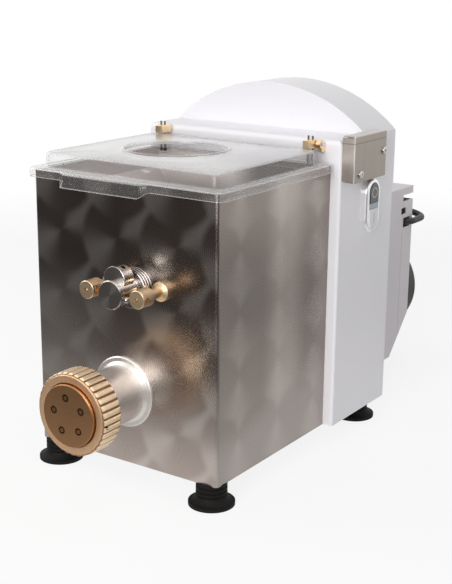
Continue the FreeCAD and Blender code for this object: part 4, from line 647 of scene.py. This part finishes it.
finishes["ring_nut"] = fluted_bronze()
print("nut bronze nodes", len(finishes["ring_nut"].node_tree.nodes))

# %% [markdown]
# The rest of the metals differ only in the numbers given to the metal maker. Bronze, aluminium and
# the turned pieces at the front come first, then the steels, and then what is inside.


# %% Metals at the front
def share_finish(material, names):
    """Give one finish to several nodes."""
    for name in names:
        finishes[name] = material


PIVOT_AXIS = at(18.5, 0, 184.97)
TURNED_PITCH = 0.0012
POLISHED_PITCH = 0.0009
POLISHED_DEPTH = 0.000006
DIE_PITCH = 0.0011
CAST_GRAIN = (220, 220, 220)
bronze = metal("golden_bronze", (1.0, 0.72, 0.47), 0.36, STREAK_X, swing=0.12)
share_finish(bronze, ("cutter_posts", "hinge_blocks", "hinge_brackets"))
finishes["die_plate"] = metal("die_bronze", (0.50, 0.27, 0.13), 0.38, STREAK_X, swing=0.2,
                              axis=AUGER_AXIS, pitch=DIE_PITCH)
finishes["die_inserts"] = metal("insert_bronze", (0.34, 0.18, 0.09), 0.35, STREAK_X, swing=0.2)
finishes["extruder_barrel"] = metal("cast_aluminium", (0.86, 0.82, 0.78), 0.40, CAST_GRAIN, swing=0.13)
# The polished pin and screw carry a painted bow-tie highlight across their rings.
polished = metal("polished_steel", (0.42, 0.38, 0.35), 0.16, STREAK_X, swing=0.1,
                 axis=PIVOT_AXIS, pitch=POLISHED_PITCH, depth=POLISHED_DEPTH, fan=0.60)
share_finish(polished, ("pivot_pin", "pivot_screw"))
finishes["pivot_collar"] = metal("turned_steel", (0.34, 0.31, 0.29), 0.24, STREAK_X, swing=0.1,
                                 axis=PIVOT_AXIS, pitch=TURNED_PITCH)
finishes["hinge_screws"] = metal("dark_screws", (0.16, 0.15, 0.14), 0.35, STREAK_X, swing=0.2)
finishes["button_bezel"] = metal("silver_bezel", (0.95, 0.95, 0.97), 0.36, STREAK_Z, swing=0.04)
print("finishes so far", len(finishes))

# %% Metals inside and below
PLATE_GRAIN = (90, 90, 90)
HOUSING_GRAIN = (160, 160, 160)
LAMINATION_GRAIN = (40, 1500, 40)
worked = metal("worked_steel", (0.60, 0.57, 0.54), 0.36, STREAK_Y, swing=0.12)
share_finish(worked, ("auger_screw", "kneader_arms"))
plated = metal("plated_screws", (0.62, 0.60, 0.58), 0.25, STREAK_X, swing=0.1)
share_finish(plated, ("switch_cover_screws", "foot_bolts", "gearbox_bolts", "motor_bolts"))
finishes["base_plate"] = metal("zinc_plate", (0.46, 0.46, 0.47), 0.42, PLATE_GRAIN, swing=0.2)
ground = metal("ground_steel", (0.55, 0.55, 0.56), 0.22, STREAK_X, swing=0.08)
share_finish(ground, ("auger_drive_shaft", "kneader_drive_shaft", "motor_shaft", "hinge_pins",
                      "shaft_bearings"))
oiled = metal("oiled_gear_steel", (0.26, 0.25, 0.24), 0.32, STREAK_Y, swing=0.2)
share_finish(oiled, ("auger_gear", "kneader_gear", "layshaft", "layshaft_gear", "motor_pinion"))
casting = metal("gearbox_casting", (0.40, 0.41, 0.42), 0.52, HOUSING_GRAIN, swing=0.15)
share_finish(casting, ("gearbox_housing", "bearing_web", "gearbox_cover"))
laminated = metal("laminated_steel", (0.24, 0.22, 0.21), 0.48, LAMINATION_GRAIN, swing=0.35)
share_finish(laminated, ("stator_core", "rotor_core"))
print("metal finishes", len(finishes))

# %% [markdown]
# ## Enamel, rubber and plastic
# Sprayed enamel is never perfectly flat: a very low, wide ripple breaks up the reflections. The
# black rubber is matt with a fine grain, and moulded plastic has a finer grain still. These are
# all non-metals, so only colour, roughness and relief differ.

# %% Coatings maker
FINE_GRAIN = 900.0
COAT_ROUGHNESS = 0.08
PLASTIC_RIPPLE = 180.0
PLASTIC_DEPTH = 0.00004


def coating(name, colour, roughness, swing, ripple=PLASTIC_RIPPLE, depth=PLASTIC_DEPTH, coat=0.0, shine=0.5):
    """Paint, plastic or rubber: broad clouds in the colour, a ripple and a fine grain in relief."""
    bench = Bench(name)
    place = bench.place()
    cloud = bench.noise(place, 11.0)
    wave = bench.noise(place, ripple, 1.0)
    fine = bench.noise(place, FINE_GRAIN, 2.0)
    base = bench.mix(*shades(colour, swing), cloud)
    rough = roughness + (cloud - 0.5) * 0.08 + (fine - 0.5) * 0.06
    relief = bench.bump(wave * 0.7 + fine * 0.3, depth, 0.6)
    made = {"Base_Color": base, "Roughness": rough, "Normal": relief, "Specular_IOR_Level": shine}
    return bench.finish(Coat_Weight=coat, Coat_Roughness=COAT_ROUGHNESS, **made)


print("ripples per metre in plastic", PLASTIC_RIPPLE)

# %% Enamel and paint
ENAMEL_RIPPLE = 90.0
ENAMEL_DEPTH = 0.00003
enamel = coating("white_enamel", (0.90, 0.885, 0.915), 0.32, swing=0.015,
                 ripple=ENAMEL_RIPPLE, depth=ENAMEL_DEPTH, coat=0.35)
share_finish(enamel, ("casing_body", "casing_rear_panel"))
shell = coating("pale_enamel", (0.80, 0.76, 0.79), 0.40, swing=0.02,
                ripple=ENAMEL_RIPPLE, depth=ENAMEL_DEPTH, coat=0.2)
share_finish(shell, ("motor_housing", "motor_housing_rear"))
finishes["fan_cowl"] = coating("black_cowl_paint", (0.045, 0.042, 0.040), 0.50, swing=0.2,
                               ripple=300.0, depth=0.00005)
motor_paint = coating("motor_paint", (0.16, 0.19, 0.23), 0.48, swing=0.1, ripple=250.0, depth=0.00006)
share_finish(motor_paint, ("motor_frame", "motor_shields"))
print("finishes so far", len(finishes))

# %% Rubber and plastic
BUTTON_RIPPLE = 120.0
BUTTON_DEPTH = 0.00002
rubber = coating("black_rubber", (0.006, 0.0055, 0.005), 0.66, swing=0.3,
                 ripple=400.0, depth=0.00006, shine=0.18)
share_finish(rubber, ("feet", "shaft_seals", "cable_grommets"))
finishes["power_cable"] = coating("cable_sheath", (0.020, 0.020, 0.022), 0.42, swing=0.2,
                                  ripple=500.0, depth=0.00003)
finishes["fan"] = coating("fan_plastic", (0.03, 0.03, 0.032), 0.5, swing=0.1)
finishes["stop_button"] = coating("dark_button", (0.035, 0.035, 0.04), 0.25, swing=0.1,
                                  ripple=BUTTON_RIPPLE, depth=BUTTON_DEPTH, coat=0.4)
finishes["start_button"] = coating("pale_button", (0.80, 0.80, 0.81), 0.28, swing=0.03,
                                   ripple=BUTTON_RIPPLE, depth=BUTTON_DEPTH, coat=0.4)
finishes["pilot_lens"] = coating("lens_plastic", (0.30, 0.36, 0.44), 0.15, swing=0.1,
                                 ripple=300.0, depth=BUTTON_DEPTH, coat=0.6)
switch_black = coating("switch_plastic", (0.04, 0.04, 0.042), 0.45, swing=0.1)
share_finish(switch_black, ("contact_block", "interlock_switch", "terminal_box"))
finishes["capacitor"] = coating("can_plastic", (0.62, 0.62, 0.63), 0.35, swing=0.03)
print("finishes so far", len(finishes))

# %% [markdown]
# ## Clear plastic
# The lid is moulded in clear polycarbonate. Looked at square on, it lets most light through; at a
# low angle its surface turns milky and mirrors the white casing. The share that is seen therefore
# grows with the angle, which the Layer Weight node gives for both sides of the sheet, on top of a
# faint haze from years of wiping. Bent edges gather light, so a painted highlight draws pale lines
# along them, and a small oval on the front of the raised part is the mark that the mould leaves.

# %% Clear lid
GATE_MARK = at(23, 7, 294.5)
GATE_HALF_WIDTH = 0.0055
GATE_HALF_HEIGHT = 0.0020
CLEAR_DARK = (0.86, 0.85, 0.845)
CLEAR_PALE = (0.92, 0.91, 0.905)
# The colour of the painted highlight lines along the bends.
CLEAR_EDGE_HIGHLIGHT = (0.72, 0.71, 0.71)


def clear_plastic():
    bench = Bench("clear_plastic")
    place = bench.place()
    x, y, z = bench.split(place)
    slant = bench.node("ShaderNodeLayerWeight", {}, {"Blend": 0.5}, "Facing")
    haze = bench.noise(place, 40.0, 4.0)
    edge = bench.node("ShaderNodeAttribute", {"attribute_name": "edge_highlight"}, {}, "Fac")
    dx, dz = (x - GATE_MARK.x) / GATE_HALF_WIDTH, (z - GATE_MARK.z) / GATE_HALF_HEIGHT
    oval = 1.0 - (dx * dx + dz * dz).smooth(0.5, 1.2)
    mark = oval * (1.0 - (y - GATE_MARK.y).smooth(0.002, 0.004))
    # The edge attribute adds a painted highlight line along the bends, in colour and opacity.
    alpha = slant ** 4.0 * 1.45 + haze * 0.02 + 0.030 + edge * edge * 0.50 + mark * 0.26
    rough = haze * 0.06 + 0.15
    base = bench.mix(bench.mix(CLEAR_DARK, CLEAR_PALE, haze), CLEAR_EDGE_HIGHLIGHT, edge)
    return bench.finish(Base_Color=base, Roughness=rough, Alpha=alpha, Metallic=0.35)


finishes["lid"] = clear_plastic()
print("finishes in all", len(finishes))

# %% [markdown]
# ## Helpers for meshes
# Everything made here is drawn in drawing millimetres and moved into the frame at once, so that a
# finished piece sits at the origin, unturned and unscaled. A mesh gets smooth faces, and edges
# sharper than a given angle stay crisp.

# %% Mesh helpers
SHARP = math.radians(34)


def make_mesh(name, points, faces, material):
    """A mesh object from drawing points."""
    data = bpy.data.meshes.new(name)
    data.from_pydata([at(*p) for p in points], [], faces)
    data.materials.append(material)
    return settle(name, data)


def settle(name, data):
    """Smooth faces, crisp edges, and the mesh in the scene."""
    for face in data.polygons:
        face.use_smooth = True
    data.set_sharp_from_angle(angle=SHARP)
    made = bpy.data.objects.new(name, data)
    bpy.context.scene.collection.objects.link(made)
    return made


def ring_faces(count, rings, closed=False):
    """Quads between rings of count points each; closed joins the last ring to the first."""
    faces = []
    for k in range(rings if closed else rings - 1):
        near = k * count
        far = ((k + 1) % rings) * count
        for i in range(count):
            j = (i + 1) % count
            faces.append((near + i, near + j, far + j, far + i))
    return faces


def baked(maker, name, material):
    """The object with its modifiers applied, as a plain mesh; the maker object is removed."""
    graph = bpy.context.evaluated_depsgraph_get()
    data = bpy.data.meshes.new_from_object(maker.evaluated_get(graph))
    bpy.data.objects.remove(maker)
    data.materials.clear()
    data.materials.append(material)
    return settle(name, data)


def round_about(steps):
    """The angles of evenly spaced steps round a circle."""
    return [2 * math.pi * i / steps for i in range(steps)]


print("edges sharper than", round(math.degrees(SHARP)), "degrees stay crisp")

# %% [markdown]
# ## The moulded lid
# The lid is one sheet of clear plastic, drawn over a mould, so every corner is round and its wall
# is even. It is made as such a sheet: a stack of rounded rectangles, from the skirt's lower edge
# over the flange and up the raised part, and then in to a circle for the opening. A Solidify
# modifier gives it the wall. The finger lip is part of the skirt: it hangs lower and stands out,
# starts with a step at the left and runs out in an S-curve at the right.

# %% Rings of the lid
FRONT_STEPS = 112
SIDE_STEPS = 10
CORNER_STEPS = 8
LIP_START = (-71.4, -70.0)
LIP_END = (24.0, 37.0)


def soft_step(value, low, high):
    """0 below low, 1 above high, and a soft step between."""
    t = min(1.0, max(0.0, (value - low) / (high - low)))
    return t * t * (3 - 2 * t)


def lip_share(x):
    """1 along the finger lip, 0 elsewhere."""
    return soft_step(x, *LIP_START) * (1 - soft_step(x, *LIP_END))


def rounded_ring(half, front, back, corner):
    """(x, y) points round a rectangle with round corners, from the front left corner."""
    points = []
    right, left = half - corner, corner - half
    near, far = front + corner, back - corner
    centres = ((right, near), (right, far), (left, far), (left, near))
    starts = ((left, front), (half, near), (right, back), (-half, far))
    for side in range(4):
        x0, y0 = starts[side]
        cx, cy = centres[side]
        turn = math.radians(-90 + 90 * side)
        x1, y1 = cx + corner * math.cos(turn), cy + corner * math.sin(turn)
        steps = FRONT_STEPS if side == 0 else SIDE_STEPS
        for i in range(steps):
            points.append((x0 + (x1 - x0) * i / steps, y0 + (y1 - y0) * i / steps))
        for i in range(CORNER_STEPS):
            angle = turn + math.radians(90) * i / CORNER_STEPS
            points.append((cx + corner * math.cos(angle), cy + corner * math.sin(angle)))
    return points


ring_length = len(rounded_ring(2.0, 0.0, 4.0, 1.0))
print("points in each ring", ring_length)

# %% [markdown]
# The skirt and the raised part are each a short list of rings. A row gives how far the ring stands
# in from the outline and how high it lies, and for the skirt also how much of the finger lip's
# outward step it takes. Rings that lie close together make a round corner.

# %% Skirt and flange
SKIRT_HALF = 117.5
SKIRT_FRONT = -5.0
SKIRT_BACK = 197.7
SKIRT_CORNER = 9.0
SKIRT_FOOT = 277.0
FLANGE_TOP = 286.3
LIP_DROP = 6.4
LIP_OUT = 3.9
SKIRT_RINGS = ((0.0, SKIRT_FOOT, 1.0), (0.0, 277.7, 1.0), (0.0, 282.6, 1.0), (0.35, 284.2, 0.9),
               (0.9, 285.2, 0.65), (1.6, 285.8, 0.5), (2.6, 286.2, 0.25), (4.2, FLANGE_TOP, 0.0))
points = []
for inset, height, lip in SKIRT_RINGS:
    low = (FLANGE_TOP - height) / (FLANGE_TOP - SKIRT_FOOT)
    corner = SKIRT_CORNER - inset * 0.5
    for x, y in rounded_ring(SKIRT_HALF - inset, SKIRT_FRONT + inset, SKIRT_BACK - inset, corner):
        share = lip_share(x) * lip if y < 0 else 0.0
        points.append((x, y - LIP_OUT * share, height - LIP_DROP * share * low))
print("skirt points", len(points))

# %% Raised part and opening
RAISED_HALF = 107.0
RAISED_FRONT = 7.0
RAISED_BACK = 185.0
RAISED_CORNER = 10.0
RAISED_TOP = 301.0
RAISED_RINGS = ((-2.6, FLANGE_TOP), (-1.2, 286.8), (-0.4, 288.2), (0.0, 290.0), (0.3, 296.5), (0.6, 298.2),
                (1.4, 299.6), (2.7, 300.6), (4.4, RAISED_TOP))
OPENING_X = -10.0
OPENING_Y = 100.0
OPENING_R = 52.2
OPENING_MARGINS = (6.0, 1.0)


def by_opening(margin, angle, height):
    """A point that stands a margin out from the opening's edge."""
    radius = OPENING_R + margin
    return OPENING_X + radius * math.cos(angle), OPENING_Y + radius * math.sin(angle), height


for inset, height in RAISED_RINGS:
    corner = RAISED_CORNER - inset * 0.6
    for x, y in rounded_ring(RAISED_HALF - inset, RAISED_FRONT + inset, RAISED_BACK - inset, corner):
        points.append((x, y, height))
last = points[-ring_length:]
for margin in OPENING_MARGINS:
    for x, y, z in last:
        angle = math.atan2(y - OPENING_Y, x - OPENING_X)
        points.append(by_opening(margin, angle, RAISED_TOP))
rings = len(points) // ring_length
print("rings", rings)

# %% [markdown]
# The material needs to know where the sheet bends, so each point carries a number of its own, an
# attribute which is high on the rings along the skirt's foot, the flange's edge and the upper edge
# of the raised part; there the material paints a pale highlight line.

# %% Sheet and wall
LID_WALL = 2.2
# How strongly each ring carries the painted highlight line.
EDGE_HIGHLIGHT_RINGS = {0: 1.0, 4: 1.0, 5: 0.5, 9: 0.5, 14: 0.8, 15: 1.0, 16: 0.3}
lid_plastic = finishes["lid"]
sheet = make_mesh("lid_sheet", points, ring_faces(ring_length, rings), lid_plastic)
lines = sheet.data.attributes.new("edge_highlight", "FLOAT", "POINT")
lines.data.foreach_set("value", [EDGE_HIGHLIGHT_RINGS.get(i // ring_length, 0.0) for i in range(len(points))])
wall = sheet.modifiers.new("wall", "SOLIDIFY")
wall.thickness = LID_WALL * MM
wall.offset = -1.0
clear_lid = baked(sheet, "clear_lid", lid_plastic)
print("clear lid", len(clear_lid.data.polygons), "faces")

# %% The bead round the opening
BEAD = ((0.0, 298.6), (0.0, 302.2), (0.4, 302.8), (1.0, 303.0), (2.2, 302.8), (3.0, 302.0),
        (3.4, RAISED_TOP), (2.8, 299.0))
BEAD_STEPS = 96
points = []
for out, height in BEAD:
    for angle in round_about(BEAD_STEPS):
        points.append(by_opening(out, angle, height))
bead = make_mesh("lid_bead", points, ring_faces(BEAD_STEPS, len(BEAD), True), lid_plastic)
for piece in (clear_lid, bead):
    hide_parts("lid")
    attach(piece, "lid")
print("bead points", len(points))

# %% [markdown]
# ## The fluted nut
# The ring nut is a turned ring with a rib for every ten degrees, so that wet hands can turn it. A
# repeating rule like this is what Geometry Nodes are for: one soft-edged rib is shaped from a
# grid, a copy of it is turned to each place round the ring, and the turned ring itself comes in
# as the object's own mesh.


# %% A bench for geometry
class Shop(Bench):
    """Wiring for a Geometry Nodes tree, with the same short names."""

    def __init__(self, name):
        self.tree = bpy.data.node_groups.new(name, "GeometryNodeTree")
        self.tree.interface.new_socket("Geometry", in_out="INPUT", socket_type="NodeSocketGeometry")
        self.tree.interface.new_socket("Geometry", in_out="OUTPUT", socket_type="NodeSocketGeometry")
        self.entry = self.tree.nodes.new("NodeGroupInput")
        self.given = {}

    def size(self, name, kind, value):
        """A named input and the value that it will get."""
        socket = self.tree.interface.new_socket(name, in_out="INPUT", socket_type="NodeSocket" + kind)
        self.given[socket.identifier] = value
        return Wire(self, self.entry.outputs[name])

    def own(self):
        return Wire(self, self.entry.outputs["Geometry"])

    def output(self, result):
        end = self.tree.nodes.new("NodeGroupOutput")
        self.tree.links.new(result.socket, end.inputs["Geometry"])

    def use_on(self, maker):
        """The tree as a modifier, with every input set by its identifier."""
        modifier = maker.modifiers.new("shop", "NODES")
        modifier.node_group = self.tree
        for identifier, value in self.given.items():
            modifier[identifier] = value


print("shop ready")

# %% The turned ring, about its own upright axis
NUT_STEPS = 144
NUT_BACK = 53.0
NUT_LENGTH = 27.0
NUT_OUTER = 39.5
NUT_PROFILE = ((34.6, 0.8), (35.4, 0.0), (38.8, 0.0), (NUT_OUTER, 0.8), (NUT_OUTER, 25.3),
               (38.3, NUT_LENGTH), (32.7, NUT_LENGTH), (31.7, 26.7), (31.1, 25.6), (31.0, 23.5),
               (34.5, 23.5))
nut_finish = finishes["ring_nut"]
spots = []
for radius, along in NUT_PROFILE:
    for angle in round_about(NUT_STEPS):
        spots.append(Vector((radius * math.cos(angle), radius * math.sin(angle), along)) * MM)
data = bpy.data.meshes.new("nut_core")
data.from_pydata(spots, [], ring_faces(NUT_STEPS, len(NUT_PROFILE), True))
nut_core = bpy.data.objects.new("nut_core", data)
bpy.context.scene.collection.objects.link(nut_core)
print("nut core", len(data.vertices), "points")

# %% [markdown]
# A rib starts as a flat grid. Each point of it is lifted off the ring by a height that is full in
# the middle and falls away near the edges, quickly at the two ends and more roundly at the two
# sides. The edges sink a little below the ring, so no gap shows.

# %% One rib
RIBS = 36
RIB_WIDTH = 5.9
RIB_LENGTH = 26.0
RIB_HEIGHT = 1.45
RIB_ROOT = 0.3
RIB_MIDDLE = 13.3
SIDE_POWER = 5.0
END_POWER = 12.0
shop = Shop("fluted_ring")
count = shop.size("Ribs", "Int", RIBS)
radius = shop.size("Ring radius", "Float", NUT_OUTER * MM)
wide = shop.size("Rib width", "Float", RIB_WIDTH * MM)
long = shop.size("Rib length", "Float", RIB_LENGTH * MM)
tall = shop.size("Rib height", "Float", RIB_HEIGHT * MM)
finish = shop.size("Finish", "Material", nut_finish)
grid_sizes = {"Size X": wide, "Size Y": long, "Vertices X": 11, "Vertices Y": 21}
grid = shop.node("GeometryNodeMeshGrid", {}, grid_sizes)
over, along = shop.split(shop.node("GeometryNodeInputPosition"))[:2]
side_fall = abs(over * 2.0 / wide) ** SIDE_POWER
end_fall = abs(along * 2.0 / long) ** END_POWER
swell = (1.0 - side_fall) * (1.0 - end_fall) * (tall + RIB_ROOT * MM) - RIB_ROOT * MM
rib_place = shop.join(radius + swell, over, along + RIB_MIDDLE * MM)
rib = shop.node("GeometryNodeSetPosition", {}, {"Geometry": grid, "Position": rib_place})
print("ribs", RIBS)

# %% The rib turned to every place
axis_points = shop.node("GeometryNodePoints", {}, {"Count": count})
turn = shop.node("GeometryNodeInputIndex") * (2 * math.pi) / count
placing = {"Points": axis_points, "Instance": rib, "Rotation": shop.join(0.0, 0.0, turn)}
copies = shop.node("GeometryNodeInstanceOnPoints", {}, placing)
solid = shop.node("GeometryNodeRealizeInstances", {}, {"Geometry": copies})
joined = shop.node("GeometryNodeJoinGeometry", {}, {"Geometry": solid})
shop.tree.links.new(shop.own().socket, joined.socket.node.inputs["Geometry"])
painted = shop.node("GeometryNodeSetMaterial", {}, {"Geometry": joined, "Material": finish})
shop.output(painted)
shop.use_on(nut_core)
nut = baked(nut_core, "fluted_nut", nut_finish)
lie_down = Matrix.Translation(at(0, -NUT_BACK, AUGER_HEIGHT)) @ Matrix.Rotation(math.radians(90), 4, "X")
nut.data.transform(lie_down)
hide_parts("ring_nut")
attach(nut, "ring_nut")
print("nut", len(nut.data.polygons), "faces")

# %% [markdown]
# ## Hinge heads
# Each hinge block is a small bronze head that sits on the back edge of the raised part, carried by
# a leg which stands on the lid's flange. On the real lid that leg is part of the clear moulding,
# so here the head is bronze and the leg clear. The head is a bevelled bar: its corners are
# broken by a file, and broken corners are what catches the light.

# %% Heads and legs
HEAD = (89.5, 98.7, 179.5, 197.4, 301.05, 309.6)
LEG = (90.6, 97.6, 185.15, 191.2, 286.4, 301.4)
HEAD_CORNER = 1.1
LEG_CORNER = 1.2


def bar(name, spans, material, corner):
    """Two mirrored bars with bevelled corners; spans run from and to along x, y and z."""
    shape = bmesh.new()
    x0, x1, y0, y1, z0, z1 = spans
    for side in (-1, 1):
        made = bmesh.ops.create_cube(shape, size=1.0)["verts"]
        middle = at(side * (x0 + x1) / 2, (y0 + y1) / 2, (z0 + z1) / 2)
        for vert in made:
            offset = Vector((vert.co.x * (x1 - x0), vert.co.y * (y1 - y0), vert.co.z * (z1 - z0))) * MM
            vert.co = middle + offset
    bmesh.ops.bevel(shape, geom=shape.edges[:], offset=corner * MM, segments=3, profile=0.6, affect="EDGES")
    bmesh.ops.recalc_face_normals(shape, faces=shape.faces[:])
    data = bpy.data.meshes.new(name)
    shape.to_mesh(data)
    shape.free()
    data.materials.append(material)
    return settle(name, data)


heads = bar("hinge_heads", HEAD, bronze, HEAD_CORNER)
legs = bar("hinge_legs", LEG, lid_plastic, LEG_CORNER)
for piece, slot in ((heads, "bronze"), (legs, "clear_plastic")):
    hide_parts("hinge_blocks")
    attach(piece, "lid")
print("hinge pieces", len(heads.data.polygons), len(legs.data.polygons))

# %% [markdown]
# ## The pin hole in the nut
# A pin spanner fits a small blind hole in the side of the ring nut. It is so small that a sunk
# disc, dark with painted shade, reads as the hole.

# %% Pin hole
HOLE_ANGLE = math.radians(-7)
HOLE_MIDDLE = Vector((0, -74.8, AUGER_HEIGHT))
HOLE_R = 1.5
HOLE_STEPS = 20
HOLE_PROFILE = ((1.0, 41.05), (0.8, 41.0), (0.75, 40.2), (0.05, 40.2), (1.0, 39.6))
outward = Vector((math.cos(HOLE_ANGLE), 0, math.sin(HOLE_ANGLE)))
sideways = Vector((0, 1, 0))
upward = outward.cross(sideways)
points = []
for share, distance in HOLE_PROFILE:
    for angle in round_about(HOLE_STEPS):
        around = sideways * math.cos(angle) + upward * math.sin(angle)
        points.append(tuple(HOLE_MIDDLE + outward * distance + around * (HOLE_R * share)))
hole_metal = metal("hole_shadow", (0.05, 0.03, 0.02), 0.6, STREAK_X, swing=0.2)
hole = make_mesh("nut_pin_hole", points, ring_faces(HOLE_STEPS, len(HOLE_PROFILE), True), hole_metal)
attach(hole, "ring_nut")
print("pin hole points", len(points))

# %% [markdown]
# ## Marks on the buttons
# The black stop button carries a pale ring and the white start button a thin upright line, as
# most machine switches do. Each mark is a low piece laid on its button, so it moves when the
# button is pushed.

# %% The stop button's ring
BUTTONS_Y = 262.0
BUTTONS_Z = 234.0
RING_RISE = 14.0
MARK_ROOT = -0.3
MARK_FACE = 0.05
face_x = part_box("stop_button")[1].x / MM - ORIGIN.x
ring_z = BUTTONS_Z + RING_RISE
RING_STEPS = 40
RING_SECTION = ((5.9, MARK_ROOT), (5.7, MARK_FACE), (4.7, MARK_FACE), (4.5, MARK_ROOT))
points = []
for out, lift in RING_SECTION:
    for angle in round_about(RING_STEPS):
        points.append((face_x + lift, BUTTONS_Y + out * math.cos(angle), ring_z + out * math.sin(angle)))
pale_mark = coating("pale_mark", (0.62, 0.58, 0.54), 0.4, swing=0.03)
ring = make_mesh("stop_ring", points, ring_faces(RING_STEPS, len(RING_SECTION), True), pale_mark)
print("the buttons' faces stand at", round(face_x, 2), "mm")

# %% The start button's line
LINE_DROP = 13.0
LINE_HALF_WIDTH = 0.45
LINE_HALF_HEIGHT = 5.5
BOX_FACES = ((0, 1, 3, 2), (4, 6, 7, 5), (0, 4, 5, 1), (2, 3, 7, 6), (0, 2, 6, 4), (1, 5, 7, 3))
line_z = BUTTONS_Z - LINE_DROP
corners = []
for dx in (MARK_ROOT, MARK_FACE):
    for dy in (-LINE_HALF_WIDTH, LINE_HALF_WIDTH):
        for dz in (-LINE_HALF_HEIGHT, LINE_HALF_HEIGHT):
            corners.append((face_x + dx, BUTTONS_Y + dy, line_z + dz))
grey_mark = coating("grey_mark", (0.30, 0.29, 0.29), 0.5, swing=0.03)
line = make_mesh("start_line", corners, BOX_FACES, grey_mark)
marks = ((ring, "stop_button", "button_black"), (line, "start_button", "button_white"))
for mark, button, slot in marks:
    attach(mark, button)
print("marks", [mark.name for mark, button, slot in marks])

# %% [markdown]
# ## The cable
# A short black cable comes out through the side of the motor housing, makes one loop behind it
# and goes back in through the rear wall. Both ends are in the object, so its whole length is
# known. A cable bends under its own stiffness and never has a corner, so its line is one smooth
# spline that passes near a few chosen points, and a round bevel along it gives the sheath.

# %% One loop of cable
CABLE_THICK = 8.0
CABLE_Z = 171.0
RETURN_Z = 178.0
CABLE_INNER_X = 22.0
CABLE_OUTER_X = 71.3
CABLE_RETURN_X = 36.0
CABLE_ROUTE = ((CABLE_INNER_X, 414.5, CABLE_Z), (CABLE_INNER_X, 433.3, CABLE_Z), (57.3, 468.6, CABLE_Z),
               (CABLE_OUTER_X, 482.6, CABLE_Z), (CABLE_OUTER_X, 494.0, CABLE_Z),
               (CABLE_OUTER_X, 523.0, CABLE_Z), (CABLE_RETURN_X, 523.0, RETURN_Z),
               (CABLE_RETURN_X, 501.0, RETURN_Z), (CABLE_RETURN_X, 485.0, RETURN_Z))
line_data = bpy.data.curves.new("cable_loop", "CURVE")
line_data.dimensions = "3D"
line_data.bevel_depth = CABLE_THICK / 2 * MM
line_data.bevel_resolution = 6
line_data.resolution_u = 24
line_data.use_fill_caps = True
spline = line_data.splines.new("NURBS")
spline.points.add(len(CABLE_ROUTE) - 1)
for spot, place in zip(spline.points, CABLE_ROUTE):
    spot.co = (*at(*place), 1.0)
spline.order_u = 3
spline.use_endpoint_u = True
line_data.materials.append(finishes["power_cable"])
cable = bpy.data.objects.new("cable_loop", line_data)
bpy.context.scene.collection.objects.link(cable)
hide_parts("power_cable")
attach(cable, "housing")

# %% [markdown]
# ## Finishing
# Each node of the imported model keeps its mesh, and only its material slots are filled.

# %% Put the finishes on the imported nodes
for name, material in finishes.items():
    for slot in nodes[name].material_slots:
        slot.material = material
bare = sorted(set(nodes) - set(finishes))
print("nodes without a finish", bare)
